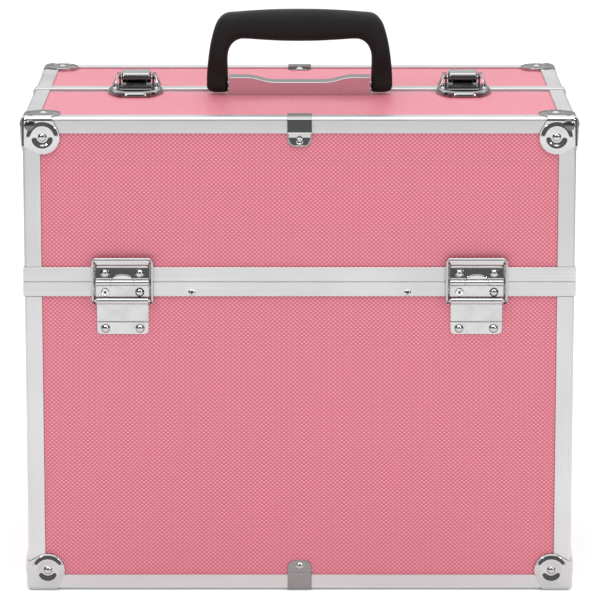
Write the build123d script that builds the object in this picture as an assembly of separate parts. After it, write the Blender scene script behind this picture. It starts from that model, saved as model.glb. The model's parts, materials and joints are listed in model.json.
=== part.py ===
from build123d import *
import os
from math import asin, cos, radians, sin

# Makeup train case. The front is -Y, up is +Z, and the origin is the centre of the footprint on the floor.
# The top is split across the middle. Each half lid turns outwards on hinges halfway up the case and carries
# two trays, which a pair of arms keeps level. Half-lid parts are drawn on the rear side, with +Y outwards,
# and mirrored for the front.

os.makedirs("parts", exist_ok=True)

# Driving dimensions, in millimetres.
WIDTH = 370.0
DEPTH = 240.0
BODY_HEIGHT = 326.0
SEAM_HEIGHT = 214.0
CAP = 1.0  # thickness of the ball corners, on which the case stands
SKIN = 1.2  # wall of the aluminium profiles
BOARD = 6.0  # thickness of the panels
LINING = 0.8
SEAM_GAP = 0.2  # from the seam's plane to each rim
CENTRE_GAP = 0.4  # from the middle plane to each half lid
EDGE_LEG = 11.0
POST_LEG = 11.8  # legs of the upright edge profiles
EDGE_ROUND = 2.5
JOINT_GAP = 0.2  # between profiles that butt
KERF = 0.15  # width of the mitre cuts
RIM_PROUD = 0.6  # how far the rims stand out from the edge profiles
BASE_RIM_LEG = 9.6
LID_RIM_LEG = 9.8
INNER_LEG = 8.0
STRIP_WIDTH = 13.0  # closing strip on the rear half lid
STRIP_PROUD = 0.8

# Hinges, which stand on the front and rear faces.
HINGE_X = 119.0
HINGE_OUT = 2.8  # from the case's face to the hinge axis
KNUCKLE_R = 2.1
HINGE_PIN_R = 1.1
PIN_PLAY = 0.05  # radial
LEAF_HALF = 18.0
LEAF = 1.0
BARREL_R = 2.3
BARREL_DROP = 12.5  # from the seam down to the stay's barrel
YOKE_HALF = 20.85
YOKE_BAR = 1.8
YOKE_RISE = 17.2  # from the seam up to the top of the stay

# Tray linkage. Both links lean inwards by 45 degrees at rest.
LINK_ANGLE = 45.0
LOWER_LINK = 36.0
UPPER_LINK = 86.0
PIVOT_SHIFT = (-25.0, -2.5)  # from the hinge axis to the arm's pivot, inwards and up
ARM_HALF = 5.5
ARM_X = (172.6, 174.6)
BRACKET_X = (174.9, 176.3)
TRAY_X = 171.6
TRAY_WALL = 2.0
TRAY_PIN_R = 2.0
TRAY_PIN_PLAY = 0.06
LOWER_TRAY = ((4.0, 108.0), (17.0, 48.0))  # each tray's span in y, and its span above the seam
UPPER_TRAY = ((4.0, 96.0), (50.5, 83.5))
BRACKET_Y = (86.0, 110.0)
BRACKET_RISE = (-18.0, 3.5)  # from the seam
BRACKET_PAD = ((88.0, 108.0), (-17.0, -8.6))
BRACKET_RIVETS = ((92.0, 104.0), -13.0)
DIVIDER_X = 57.0
DIVIDER_DROP = 4.0  # from the tray's rim down to the dividers
DIVIDER = 1.6

# Handle, on the front half lid.
HANDLE_Y = -10.0
PIVOT_RISE = 7.0  # from the top panel to the handle's axis
HANDLE_PIN_R = 2.5
GRIP_DEPTH = 20.0
LEG_DEPTH = 13.0
BRACKET_HALF = 49.0
BRACKET_DEPTH = 15.0

# Latches, across the middle of the top.
LATCH_X = 114.0
LEVER_HALF = 10.0
LATCH_PIN_Y = 14.0
LATCH_PIN_RISE = 4.5
LATCH_PIN_R = 1.0

# Rivets.
RIVET_R = 1.6
RIVET_PLAY = 0.05
HEAD_R = 2.5
HEAD_H = 1.4
POP_X = 72.6
POP_DROP = 7.4
POP_BORE = 0.7

# Planes worked out from the driving dimensions.
X_OUT = WIDTH / 2
Y_OUT = DEPTH / 2
X_BOARD = X_OUT - SKIN
Y_BOARD = Y_OUT - SKIN
X_IN = X_BOARD - BOARD
Y_IN = Y_BOARD - BOARD
X_RIM = X_OUT + RIM_PROUD
Y_RIM = Y_OUT + RIM_PROUD
Z_LOW = CAP
Z_SEAM = CAP + SEAM_HEIGHT
Z_TOP = CAP + BODY_HEIGHT
Z_FLOOR = Z_LOW + SKIN + BOARD  # top of the floor panel
Z_ROOF = Z_TOP - SKIN - BOARD  # underside of the top panels
Z_PANEL = Z_TOP - SKIN  # outer face of the top panels
BASE_RIM = Z_SEAM - SEAM_GAP
LID_RIM = Z_SEAM + SEAM_GAP
Z_MIDDLE = (Z_LOW + Z_TOP) / 2
Y_CLOSE = CENTRE_GAP + SKIN  # inner edge of the lid panels
HINGE = (Y_OUT + HINGE_OUT, Z_SEAM)
ARM_PIVOT = (HINGE[0] + PIVOT_SHIFT[0], HINGE[1] + PIVOT_SHIFT[1])
BARREL = (HINGE[0], Z_SEAM - BARREL_DROP)
Z_STRIP = Z_TOP + STRIP_PROUD
Z_LATCH = Z_STRIP + SKIN  # top of the latch's base plate

nodes = {}
holes = []


def block(x, y, z):
    """A box from its (low, high) spans."""
    size = [abs(b - a) for a, b in (x, y, z)]
    middle = [(a + b) / 2 for a, b in (x, y, z)]
    return Pos(*middle) * Box(*size)


def ring(outer, inner, z):
    """An upright rectangular frame between two (x, y) half sizes."""
    out = block((-outer[0], outer[0]), (-outer[1], outer[1]), z)
    return out - block((-inner[0], inner[0]), (-inner[1], inner[1]), z)


def rod(radius, x, y, z):
    """A cylinder along X over the span x, at (y, z)."""
    return Pos((x[0] + x[1]) / 2, y, z) * Rot(0, 90, 0) * Cylinder(radius, abs(x[1] - x[0]))


def side_view(points, x):
    """A prism over the span x from an outline of (y, z) points."""
    face = make_face(Polyline(*points, close=True))
    return Plane.YZ.offset(x[0]).location * extrude(face, x[1] - x[0])


def flip_x(part):
    return mirror(part, about=Plane.YZ)


def flip_y(part):
    return mirror(part, about=Plane.XZ)


def four_ways(part):
    """The part and its three mirror images about the middle planes."""
    pair = [part, flip_x(part)]
    return pair + [flip_y(p) for p in pair]


def add(name, *parts):
    nodes.setdefault(name, []).extend(s for p in parts for s in p.solids())


def place(half, part):
    """A half-lid part, drawn on the rear side, in its own half."""
    return flip_y(part) if half == "front" else part


def facing(half):
    return -1 if half == "front" else 1


def rivet(node, hosts, point, outward, grip, head=(HEAD_R, HEAD_H), shank=RIVET_R, bore=0.0):
    """A domed rivet whose head sits at point. Its hosts are drilled for it."""
    head_r, head_h = head
    ball = (head_r**2 + head_h**2) / (2 * head_h)
    half_turn = asin(head_r / ball) / 2
    shoulder = (ball * sin(half_turn), head_h - ball + ball * cos(half_turn))
    outline = Polyline((0, head_h), (0, -grip), (shank, -grip), (shank, 0), (head_r, 0))
    dome = ThreePointArc((head_r, 0), shoulder, (0, head_h))
    body = revolve(Plane.XZ * make_face(outline + dome), axis=Axis.Z)
    if bore:
        body -= Cylinder(bore, 2 * grip)
    spot = Plane(origin=point, z_dir=outward).location
    add(node, spot * body)
    drill = spot * Pos(0, 0, -grip / 2) * Cylinder(shank + RIVET_PLAY, grip)
    holes.append((hosts, drill))


def mitres(x, y, z, reach):
    """Thin diagonal cuts through the four corners of a rectangular frame."""
    height = abs(z[1] - z[0]) + 2
    saw = Pos(x, y, (z[0] + z[1]) / 2) * Rot(0, 0, 45) * Box(reach, KERF, height)
    return four_ways(saw)


def case_hull(offset):
    """The closed case's outer block grown by offset, with its edges rounded."""
    x, y = X_OUT + offset, Y_OUT + offset
    grown = block((-x, x), (-y, y), (Z_LOW - offset, Z_TOP + offset))
    return fillet(grown.edges(), EDGE_ROUND + offset)


hull = case_hull(0)
panel_block = block((-X_BOARD, X_BOARD), (-Y_BOARD, Y_BOARD), (Z_LOW + SKIN, Z_PANEL))
edge_skin = hull - panel_block


def make_base_shell():
    boards = (Z_FLOOR, BASE_RIM - SKIN)
    add("base_floor_panel", block((-X_BOARD, X_BOARD), (-Y_BOARD, Y_BOARD), (Z_LOW + SKIN, Z_FLOOR)))
    add("base_front_panel", block((-X_BOARD, X_BOARD), (-Y_BOARD, -Y_IN), boards))
    add("base_back_panel", block((-X_BOARD, X_BOARD), (Y_IN, Y_BOARD), boards))
    side = block((X_IN, X_BOARD), (-Y_IN, Y_IN), boards)
    add("base_side_panels", side, flip_x(side))
    lining_top = BASE_RIM - INNER_LEG - JOINT_GAP
    tub = block((-X_IN, X_IN), (-Y_IN, Y_IN), (Z_FLOOR, lining_top))
    x, y = X_IN - LINING, Y_IN - LINING
    add("base_lining", tub - block((-x, x), (-y, y), (Z_FLOOR + LINING, lining_top)))


def rim(face, leg, way):
    """A U-shaped rim round the panels' edges: way is -1 for legs that hang down and 1 for legs up."""
    outer = ring((X_RIM, Y_RIM), (X_BOARD, Y_BOARD), (face, face + way * leg))
    web = ring((X_RIM, Y_RIM), (X_IN - SKIN, Y_IN - SKIN), (face, face + way * SKIN))
    inner = ring((X_IN, Y_IN), (X_IN - SKIN, Y_IN - SKIN), (face, face + way * INNER_LEG))
    middle = ((X_RIM + X_IN - SKIN) / 2, (Y_RIM + Y_IN - SKIN) / 2)
    return (outer + web + inner) - mitres(*middle, (face, face + way * leg), 30)


def make_base_profiles():
    add("base_rim_profiles", rim(BASE_RIM, BASE_RIM_LEG, -1))
    x, y = X_OUT - EDGE_LEG, Y_OUT - EDGE_LEG
    low = (Z_LOW, Z_LOW + EDGE_LEG - 1)
    floor_ring = edge_skin & block((-X_OUT, X_OUT), (-Y_OUT, Y_OUT), low)
    floor_ring -= block((-x, x), (-y, y), (Z_LOW - 1, Z_LOW + 2 * SKIN))
    floor_ring -= mitres(X_OUT - EDGE_LEG / 2, Y_OUT - EDGE_LEG / 2, low, 24)
    add("base_edge_profiles", floor_ring)
    upright = (low[1] + JOINT_GAP, BASE_RIM - BASE_RIM_LEG - JOINT_GAP)
    post = edge_skin & block((X_OUT - POST_LEG, X_OUT), (Y_OUT - POST_LEG, Y_OUT), upright)
    add("base_edge_profiles", *four_ways(post))


def make_lid_shell(half):
    boards = (LID_RIM + SKIN, Z_ROOF)
    top = block((-X_BOARD, X_BOARD), (Y_CLOSE, Y_BOARD), (Z_ROOF, Z_PANEL))
    face = block((-X_BOARD, X_BOARD), (Y_IN, Y_BOARD), boards)
    side = block((X_IN, X_BOARD), (Y_CLOSE, Y_IN), boards)
    inside = LID_RIM + INNER_LEG + JOINT_GAP
    near = CENTRE_GAP + INNER_LEG + JOINT_GAP
    tub = block((-X_IN, X_IN), (near, Y_IN), (inside, Z_ROOF))
    x, y = X_IN - LINING, Y_IN - LINING
    tub -= block((-x, x), (0, y), (inside - 1, Z_ROOF - LINING))
    add(f"{half}_lid_top_panel", place(half, top))
    add(f"{half}_lid_face_panel", place(half, face))
    add(f"{half}_lid_side_panels", place(half, side), place(half, flip_x(side)))
    add(f"{half}_lid_lining", place(half, tub))


def arch(x, z_top, x_in, z_in, y, z_low):
    """An upside-down U that runs up one side of the lid, across the top and down the other side."""
    return block((-x, x), y, (z_low, z_top)) - block((-x_in, x_in), y, (z_low, z_in))


def make_lid_profiles(half):
    own_side = block((-X_RIM, X_RIM), (CENTRE_GAP, Y_RIM), (LID_RIM, LID_RIM + LID_RIM_LEG))
    add(f"{half}_lid_rim_profiles", place(half, rim(LID_RIM, LID_RIM_LEG, 1) & own_side))

    above_rim = LID_RIM + LID_RIM_LEG + JOINT_GAP
    web = arch(X_BOARD, Z_PANEL, X_IN, Z_ROOF, (CENTRE_GAP, Y_CLOSE), LID_RIM + SKIN)
    inner = arch(
        X_IN, Z_ROOF, X_IN - SKIN, Z_ROOF - SKIN,
        (CENTRE_GAP, CENTRE_GAP + INNER_LEG), LID_RIM + INNER_LEG + JOINT_GAP,
    )
    closing = web + inner
    edge_start = CENTRE_GAP + JOINT_GAP
    if half == "rear":
        x = X_OUT + STRIP_PROUD
        span = (CENTRE_GAP, CENTRE_GAP + STRIP_WIDTH)
        strip = arch(x, Z_STRIP, X_BOARD, Z_PANEL, span, above_rim)
        bends = strip.edges().filter_by(Axis.Y).group_by(Axis.Z)[-1]
        closing += fillet(bends, EDGE_ROUND)
        edge_start = span[1] + JOINT_GAP
    add(f"{half}_lid_closing_profiles", place(half, closing))

    x, y = X_OUT - EDGE_LEG, Y_OUT - EDGE_LEG
    high = (Z_TOP - EDGE_LEG, Z_TOP)
    top_ring = edge_skin & block((-X_OUT, X_OUT), (edge_start, Y_OUT), high)
    top_ring -= block((-x, x), (edge_start, y), (Z_TOP - 2 * SKIN, Z_TOP + 1))
    top_ring -= mitres(X_OUT - EDGE_LEG / 2, Y_OUT - EDGE_LEG / 2, high, 24)
    upright = (above_rim, high[0] - JOINT_GAP)
    post = edge_skin & block((X_OUT - POST_LEG, X_OUT), (Y_OUT - POST_LEG, Y_OUT), upright)
    add(f"{half}_lid_edge_profiles", place(half, top_ring))
    add(f"{half}_lid_edge_profiles", place(half, post), place(half, flip_x(post)))


# A ball corner covers three faces, each with the same outline measured from the case's corner.
CORNER_DISH = 13.4  # from both edges to the middle of the round dish
CORNER_R = 11.6
DISH_R = 8.5
DISH_DEPTH = 0.5
CORNER_TIPS = ((-1, -1), (19, -1), (24, 9), (9, 24), (-1, 19))


def ball_corner():
    """The ball corner at the bottom, right and rear of the case."""
    outline = make_face(Polyline(*CORNER_TIPS, close=True))
    outline += Pos(CORNER_DISH, CORNER_DISH) * Circle(CORNER_R)
    corner = (X_OUT, Y_OUT, Z_LOW)
    # Each plane's x and y run from the corner along two edges, and its z axis points into the case.
    planes = [
        Plane(origin=corner, x_dir=(-1, 0, 0), z_dir=(0, 0, 1)),
        Plane(origin=corner, x_dir=(0, 0, 1), z_dir=(0, -1, 0)),
        Plane(origin=corner, x_dir=(0, -1, 0), z_dir=(-1, 0, 0)),
    ]
    cover = case_hull(CAP) - panel_block
    plates = None
    for plane in planes:
        plate = plane.location * Pos(0, 0, -CAP) * extrude(outline, CAP + SKIN)
        plates = plate if plates is None else plates + plate
    body = cover & plates
    legs = edge_skin & block((X_OUT - 30, X_OUT), (Y_OUT - 30, Y_OUT), (Z_LOW, Z_LOW + 30))
    x, y, z = X_OUT - EDGE_LEG, Y_OUT - EDGE_LEG, Z_LOW + EDGE_LEG
    legs -= block((0, x), (0, y), (0, z))
    x, y = X_OUT - POST_LEG, Y_OUT - POST_LEG
    legs -= block((x, X_OUT + 1), (0, y), (z, z + 30))
    legs -= block((0, x), (y, Y_OUT + 1), (z, z + 30))
    body -= legs
    for plane in planes:
        dish = Pos(CORNER_DISH, CORNER_DISH, DISH_DEPTH / 2 - CAP) * Cylinder(DISH_R, DISH_DEPTH)
        body -= plane.location * dish
    return body


def corner_rivets(node, x_side, y_side, z_corner, z_way, corner_node, panels):
    """Three rivets that hold one ball corner, one on each face."""
    x, y = x_side * (X_OUT - CORNER_DISH), y_side * (Y_OUT - CORNER_DISH)
    z = z_corner + z_way * CORNER_DISH
    lift = CAP - DISH_DEPTH
    grip = lift + SKIN + BOARD
    spots = [
        ((x, y, z_corner - z_way * lift), (0, 0, -z_way), panels[0]),
        ((x, y_side * (Y_OUT + lift), z), (0, y_side, 0), panels[1]),
        ((x_side * (X_OUT + lift), y, z), (x_side, 0, 0), panels[2]),
    ]
    for point, outward, panel in spots:
        rivet(node, [corner_node, panel], point, outward, grip, head=(HEAD_R, 0.45))


def make_ball_corners():
    bottom = ball_corner()
    add("bottom_ball_corners", *four_ways(bottom))
    top = mirror(bottom, about=Plane.XY.offset(Z_MIDDLE))
    for half in ("front", "rear"):
        add(f"{half}_lid_ball_corners", place(half, top), place(half, flip_x(top)))
    for x_side in (-1, 1):
        for half, face in (("front", "base_front_panel"), ("rear", "base_back_panel")):
            way = facing(half)
            floor_set = ["base_floor_panel", face, "base_side_panels"]
            corner_rivets("base_rivets", x_side, way, Z_LOW, 1, "bottom_ball_corners", floor_set)
            lid_set = [f"{half}_lid_{p}" for p in ("top_panel", "face_panel", "side_panels")]
            corner_node = f"{half}_lid_ball_corners"
            corner_rivets(f"{half}_lid_rivets", x_side, way, Z_TOP, -1, corner_node, lid_set)


# An edge clip is a strap bent over the middle of an edge, with a tab on the panel each side.
CLIP_HALF = 8.2
CLIP = 0.8
CLIP_STRAP = 12.0
CLIP_REACH = 20.0
CLIP_RIVET = 16.0


def edge_clip():
    """The clip over the bottom rear edge."""
    x = (-CLIP_HALF, CLIP_HALF)
    far = (Y_OUT - CLIP_STRAP, Y_OUT + CLIP)
    strap = (case_hull(CLIP) - hull) & block(x, far, (Z_LOW - CLIP, Z_LOW + CLIP_STRAP))
    strap -= block(x, (0, Y_OUT - CLIP_STRAP), (0, Z_TOP))
    sunk = SKIN - CLIP
    fold = CLIP_STRAP - EDGE_LEG - JOINT_GAP
    floor_edge = Y_OUT - CLIP_STRAP
    tab = block(x, (Y_OUT - CLIP_REACH, floor_edge), (Z_LOW + sunk, Z_LOW + SKIN))
    tab += block(x, (floor_edge, floor_edge + fold), (Z_LOW - CLIP, Z_LOW + SKIN))
    wall = Z_LOW + CLIP_STRAP
    rise = block(x, (Y_BOARD, Y_OUT - sunk), (wall, Z_LOW + CLIP_REACH))
    rise += block(x, (Y_BOARD, Y_OUT + CLIP), (wall - fold, wall))
    tab = fillet(tab.edges().filter_by(Axis.Z).group_by(Axis.Y)[0], 5)
    rise = fillet(rise.edges().filter_by(Axis.Y).group_by(Axis.Z)[-1], 5)
    return strap + tab + rise


def clip_rivets(node, clip, half, z_edge, way, flat, upright):
    """Two rivets that hold one edge clip: one in the flat panel and one in the upright one."""
    side = facing(half)
    sunk = SKIN - CLIP
    grip = CLIP + BOARD
    flat_spot = (0, side * (Y_OUT - CLIP_RIVET), z_edge + way * sunk)
    rivet(node, [clip, flat], flat_spot, (0, 0, -way), grip, head=(HEAD_R, 1.0))
    up_spot = (0, side * (Y_OUT - sunk), z_edge + way * CLIP_RIVET)
    rivet(node, [clip, upright], up_spot, (0, side, 0), grip, head=(HEAD_R, 1.0))


def make_edge_clips():
    clip = edge_clip()
    add("bottom_edge_clips", clip, flip_y(clip))
    top = mirror(clip, about=Plane.XY.offset(Z_MIDDLE))
    for half, panel in (("front", "base_front_panel"), ("rear", "base_back_panel")):
        add(f"{half}_lid_edge_clip", place(half, top))
        clip_rivets("base_rivets", "bottom_edge_clips", half, Z_LOW, 1, "base_floor_panel", panel)
        top_panel, face = f"{half}_lid_top_panel", f"{half}_lid_face_panel"
        clip_rivets(f"{half}_lid_rivets", f"{half}_lid_edge_clip", half, Z_TOP, -1, top_panel, face)


# Hinge leaves, measured from the hinge's own middle and from the seam.
MIDDLE_KNUCKLE = 7.8
KNUCKLE_GAP = 0.2
LEAF_BORE = HINGE_PIN_R + PIN_PLAY
LID_LEAF_TOP = 11.4
BASE_LEAF_LOW = 9.8
LEAF_NOTCH = KNUCKLE_R + 0.25
LID_RIVET = (11.7, 6.3)
BASE_RIVET = (11.6, 6.7)
STAY_HALF = 17.35
STAY_TOP = 15.0
STAY_LOW = 36.0
STAY_RIVET = 32.0
TRUNNION_R = 1.1
TRUNNION_DEPTH = 4.5


def outward_plate(x, z):
    """A hinge leaf's plate, which lies on the rims."""
    return block((-x, x), (Y_RIM, Y_RIM + LEAF), z)


def lid_leaf():
    leaf = outward_plate(LEAF_HALF, (Z_SEAM + LEAF_NOTCH, Z_SEAM + LID_LEAF_TOP))
    leaf = fillet(leaf.edges().filter_by(Axis.Y).group_by(Axis.Z)[-1], 2)
    outer_end = LEAF_HALF - KNUCKLE_GAP
    start = MIDDLE_KNUCKLE + KNUCKLE_GAP
    for way in (-1, 1):
        span = sorted((way * start, way * outer_end))
        leaf += block(span, (Y_RIM, Y_RIM + LEAF), (Z_SEAM + SEAM_GAP, Z_SEAM + LEAF_NOTCH))
        leaf += rod(KNUCKLE_R, span, *HINGE)
    return leaf - rod(LEAF_BORE, (-LEAF_HALF, LEAF_HALF), *HINGE)


def base_leaf():
    leaf = outward_plate(LEAF_HALF, (Z_SEAM - BASE_LEAF_LOW, Z_SEAM - LEAF_NOTCH))
    span = (-MIDDLE_KNUCKLE, MIDDLE_KNUCKLE)
    leaf += outward_plate(MIDDLE_KNUCKLE, (Z_SEAM - LEAF_NOTCH, Z_SEAM - SEAM_GAP))
    leaf += rod(KNUCKLE_R, span, *HINGE)
    return leaf - rod(LEAF_BORE, span, *HINGE)


def stay_plate():
    """The plate under the hinge, rolled into a barrel that carries the stay."""
    y, z = BARREL
    low = (Z_SEAM - STAY_LOW, Z_SEAM - STAY_TOP)
    plate = block((-STAY_HALF, STAY_HALF), (Y_BOARD, Y_BOARD + LEAF), low)
    plate = fillet(plate.edges().filter_by(Axis.Y).group_by(Axis.Z)[0], 3)
    step = (Z_SEAM - STAY_TOP - 0.8, Z_SEAM - STAY_TOP + 0.7)
    plate += block((-STAY_HALF, STAY_HALF), (Y_BOARD, y), step)
    plate += rod(BARREL_R, (-STAY_HALF, STAY_HALF), y, z)
    for way in (-1, 1):
        ends = sorted((way * STAY_HALF, way * (STAY_HALF - TRUNNION_DEPTH + 1)))
        plate -= rod(TRUNNION_R + 0.1, ends, y, z)
    return plate


def stay_yoke():
    """The loop that swings on the barrel and props the open lid."""
    y, z = BARREL
    depth = (y - YOKE_BAR, y + YOKE_BAR)
    height = (z, Z_SEAM + YOKE_RISE)
    loop = block((-YOKE_HALF, YOKE_HALF), depth, height)
    loop = fillet(loop.edges().filter_by(Axis.Y).group_by(Axis.Z)[-1], 3)
    window = YOKE_HALF - YOKE_BAR
    loop -= block((-window, window), depth, (z - 5, Z_SEAM + YOKE_RISE - 3.8))
    for way in (-1, 1):
        bar = sorted((way * YOKE_HALF, way * window))
        loop += rod(YOKE_BAR, bar, y, z)
        tip = sorted((way * YOKE_HALF, way * (STAY_HALF - TRUNNION_DEPTH + 1.5)))
        loop += rod(TRUNNION_R, tip, y, z)
    return loop


def make_hinges():
    pin = rod(HINGE_PIN_R, (-LEAF_HALF, LEAF_HALF), *HINGE)
    shapes = {
        "{half}_hinge_lid_leaves": lid_leaf(),
        "hinge_base_leaves": base_leaf(),
        "stay_plates": stay_plate(),
        "{half}_hinge_yokes": stay_yoke(),
        "hinge_pins": pin,
    }
    for half, panel in (("front", "base_front_panel"), ("rear", "base_back_panel")):
        side = facing(half)
        for hinge in (-HINGE_X, HINGE_X):
            for name, shape in shapes.items():
                add(name.format(half=half), place(half, Pos(hinge, 0, 0) * shape))
            for way in (-1, 1):
                leaf_face = side * (Y_RIM + LEAF)
                outward = (0, side, 0)
                lid_spot = (hinge + way * LID_RIVET[0], leaf_face, Z_SEAM + LID_RIVET[1])
                lid_hosts = [f"{half}_{n}" for n in ("hinge_lid_leaves", "lid_rim_profiles", "lid_face_panel")]
                rivet(f"{half}_lid_rivets", lid_hosts, lid_spot, outward, LEAF + Y_RIM - Y_IN)
                base_spot = (hinge + way * BASE_RIVET[0], leaf_face, Z_SEAM - BASE_RIVET[1])
                base_hosts = ["hinge_base_leaves", "base_rim_profiles", panel]
                hollow = POP_BORE if way < 0 else 0.0
                rivet("base_rivets", base_hosts, base_spot, outward, LEAF + Y_RIM - Y_IN, bore=hollow)
                stay_face = side * (Y_BOARD + LEAF)
                stay_spot = (hinge + way * BASE_RIVET[0], stay_face, Z_SEAM - STAY_RIVET)
                rivet("base_rivets", ["stay_plates", panel], stay_spot, outward, LEAF + BOARD)


def make_rim_rivets():
    """Hollow pop rivets in the base rim, between the hinges."""
    for half, panel in (("front", "base_front_panel"), ("rear", "base_back_panel")):
        side = facing(half)
        for x in (-POP_X, POP_X):
            spot = (x, side * Y_RIM, BASE_RIM - POP_DROP + SEAM_GAP)
            hosts = ["base_rim_profiles", panel]
            rivet("base_rivets", hosts, spot, (0, side, 0), Y_RIM - Y_IN, head=(2.4, 0.9), bore=POP_BORE)


# The tray linkage's pivots, as (y, z) on the rear side.
LEAN = (-cos(radians(LINK_ANGLE)), sin(radians(LINK_ANGLE)))


def along(start, distance):
    return (start[0] + distance * LEAN[0], start[1] + distance * LEAN[1])


def above_seam(span):
    return (Z_SEAM + span[0], Z_SEAM + span[1])


LID_PIVOTS = (along(HINGE, LOWER_LINK), along(HINGE, UPPER_LINK))
ARM_PIVOTS = (along(ARM_PIVOT, LOWER_LINK), along(ARM_PIVOT, UPPER_LINK))
TRAY_HEAD = 0.8
TRAY_HEAD_R = 3.5


def tray(y, z, pivots):
    """An open tray with guide ribs for its dividers."""
    wall = TRAY_WALL
    body = block((-TRAY_X, TRAY_X), y, z)
    body = fillet(body.edges().filter_by(Axis.Z), 4)
    hollow = block((wall - TRAY_X, TRAY_X - wall), (y[0] + wall, y[1] - wall), (z[0] + wall, z[1] + 1))
    body -= fillet(hollow.edges().filter_by(Axis.Z), 2)
    rib = 1.5
    for x in (-DIVIDER_X, DIVIDER_X):
        for way in (-1, 1):
            near = x + way * (DIVIDER / 2 + 0.1)
            span = sorted((near, near + way * rib))
            rise = (z[0] + wall, z[1] - DIVIDER_DROP)
            body += block(span, (y[0] + wall, y[0] + wall + rib), rise)
            body += block(span, (y[1] - wall - rib, y[1] - wall), rise)
    for pivot in pivots:
        body -= rod(TRAY_PIN_R + TRAY_PIN_PLAY, (-TRAY_X, TRAY_X), *pivot)
    return body


def tray_dividers(y, z):
    wall = TRAY_WALL
    depth = (y[0] + wall, y[1] - wall)
    height = (z[0] + wall, z[1] - DIVIDER_DROP)
    return [block((x - DIVIDER / 2, x + DIVIDER / 2), depth, height) for x in (-DIVIDER_X, DIVIDER_X)]


def lid_pivot_pin(y, z):
    """A shoulder rivet from the lid's side panel to a hole in the tray's end wall."""
    inner_face = TRAY_X - TRAY_WALL - JOINT_GAP
    pin = rod(TRAY_PIN_R, (inner_face, X_BOARD + 1), y, z)
    pin += rod(TRAY_HEAD_R, (inner_face - TRAY_HEAD, inner_face), y, z)
    pin += rod(TRAY_HEAD_R - 0.3, (TRAY_X + JOINT_GAP, X_IN - LINING), y, z)
    return pin + rod(TRAY_HEAD_R, (X_BOARD, X_BOARD + 1), y, z)


def arm_pivot_pin(y, z):
    """The pin between an arm and a tray's end wall."""
    inner_face = TRAY_X - TRAY_WALL - JOINT_GAP
    pin = rod(TRAY_PIN_R, (inner_face, ARM_X[1]), y, z)
    pin += rod(TRAY_HEAD_R, (inner_face - TRAY_HEAD, inner_face), y, z)
    return pin + rod(TRAY_HEAD_R - 0.3, (ARM_X[1], ARM_X[1] + TRAY_HEAD), y, z)


def make_linkage(half):
    y, z = ARM_PIVOT
    middle = along(ARM_PIVOT, UPPER_LINK / 2)
    lie = Plane.YZ.offset(ARM_X[0]).location * Pos(*middle) * Rot(0, 0, 180 - LINK_ANGLE)
    arm = lie * extrude(SlotCenterToCenter(UPPER_LINK, 2 * ARM_HALF), ARM_X[1] - ARM_X[0])
    arm -= rod(TRAY_PIN_R + TRAY_PIN_PLAY, ARM_X, y, z)
    foot = block(BRACKET_X, BRACKET_Y, above_seam(BRACKET_RISE))
    foot = fillet(foot.edges().filter_by(Axis.X), 4)
    foot += block((BRACKET_X[1], X_IN - LINING), BRACKET_PAD[0], above_seam(BRACKET_PAD[1]))
    foot -= rod(TRAY_PIN_R + PIN_PLAY, BRACKET_X, y, z)
    stud = rod(TRAY_PIN_R, (ARM_X[0] - 0.1, BRACKET_X[1]), y, z)
    stud += rod(TRAY_HEAD_R, (ARM_X[0] - 0.7, ARM_X[0] - 0.1), y, z)
    for pivot in ARM_PIVOTS:
        arm -= rod(TRAY_PIN_R + PIN_PLAY, ARM_X, *pivot)
        pin = arm_pivot_pin(*pivot)
        add(f"{half}_arm_pins", place(half, pin), place(half, flip_x(pin)))
    for part, node in ((arm, f"{half}_tray_arms"), (foot, "arm_brackets"), (stud, "base_rivets")):
        add(node, place(half, part), place(half, flip_x(part)))
    for pivot in LID_PIVOTS:
        pin = lid_pivot_pin(*pivot)
        add(f"{half}_lid_rivets", place(half, pin), place(half, flip_x(pin)))
        bore = rod(TRAY_PIN_R + PIN_PLAY, (X_IN - LINING, X_BOARD), *pivot)
        hosts = [f"{half}_lid_lining", f"{half}_lid_side_panels"]
        holes.extend((hosts, place(half, part)) for part in (bore, flip_x(bore)))
    for x_side in (-1, 1):
        for y in BRACKET_RIVETS[0]:
            spot = (x_side * BRACKET_X[0], facing(half) * y, Z_SEAM + BRACKET_RIVETS[1])
            hosts = ["arm_brackets", "base_lining", "base_side_panels"]
            rivet("base_rivets", hosts, spot, (-x_side, 0, 0), X_BOARD - BRACKET_X[0], head=(HEAD_R, 1.0))
    levels = (("lower", LOWER_TRAY, 0), ("upper", UPPER_TRAY, 1))
    for level, (y_span, z_span), number in levels:
        rise = above_seam(z_span)
        body = tray(y_span, rise, (LID_PIVOTS[number], ARM_PIVOTS[number]))
        add(f"{half}_{level}_tray", place(half, body))
        dividers = [place(half, d) for d in tray_dividers(y_span, rise)]
        add(f"{half}_{level}_tray_dividers", *dividers)


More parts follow.
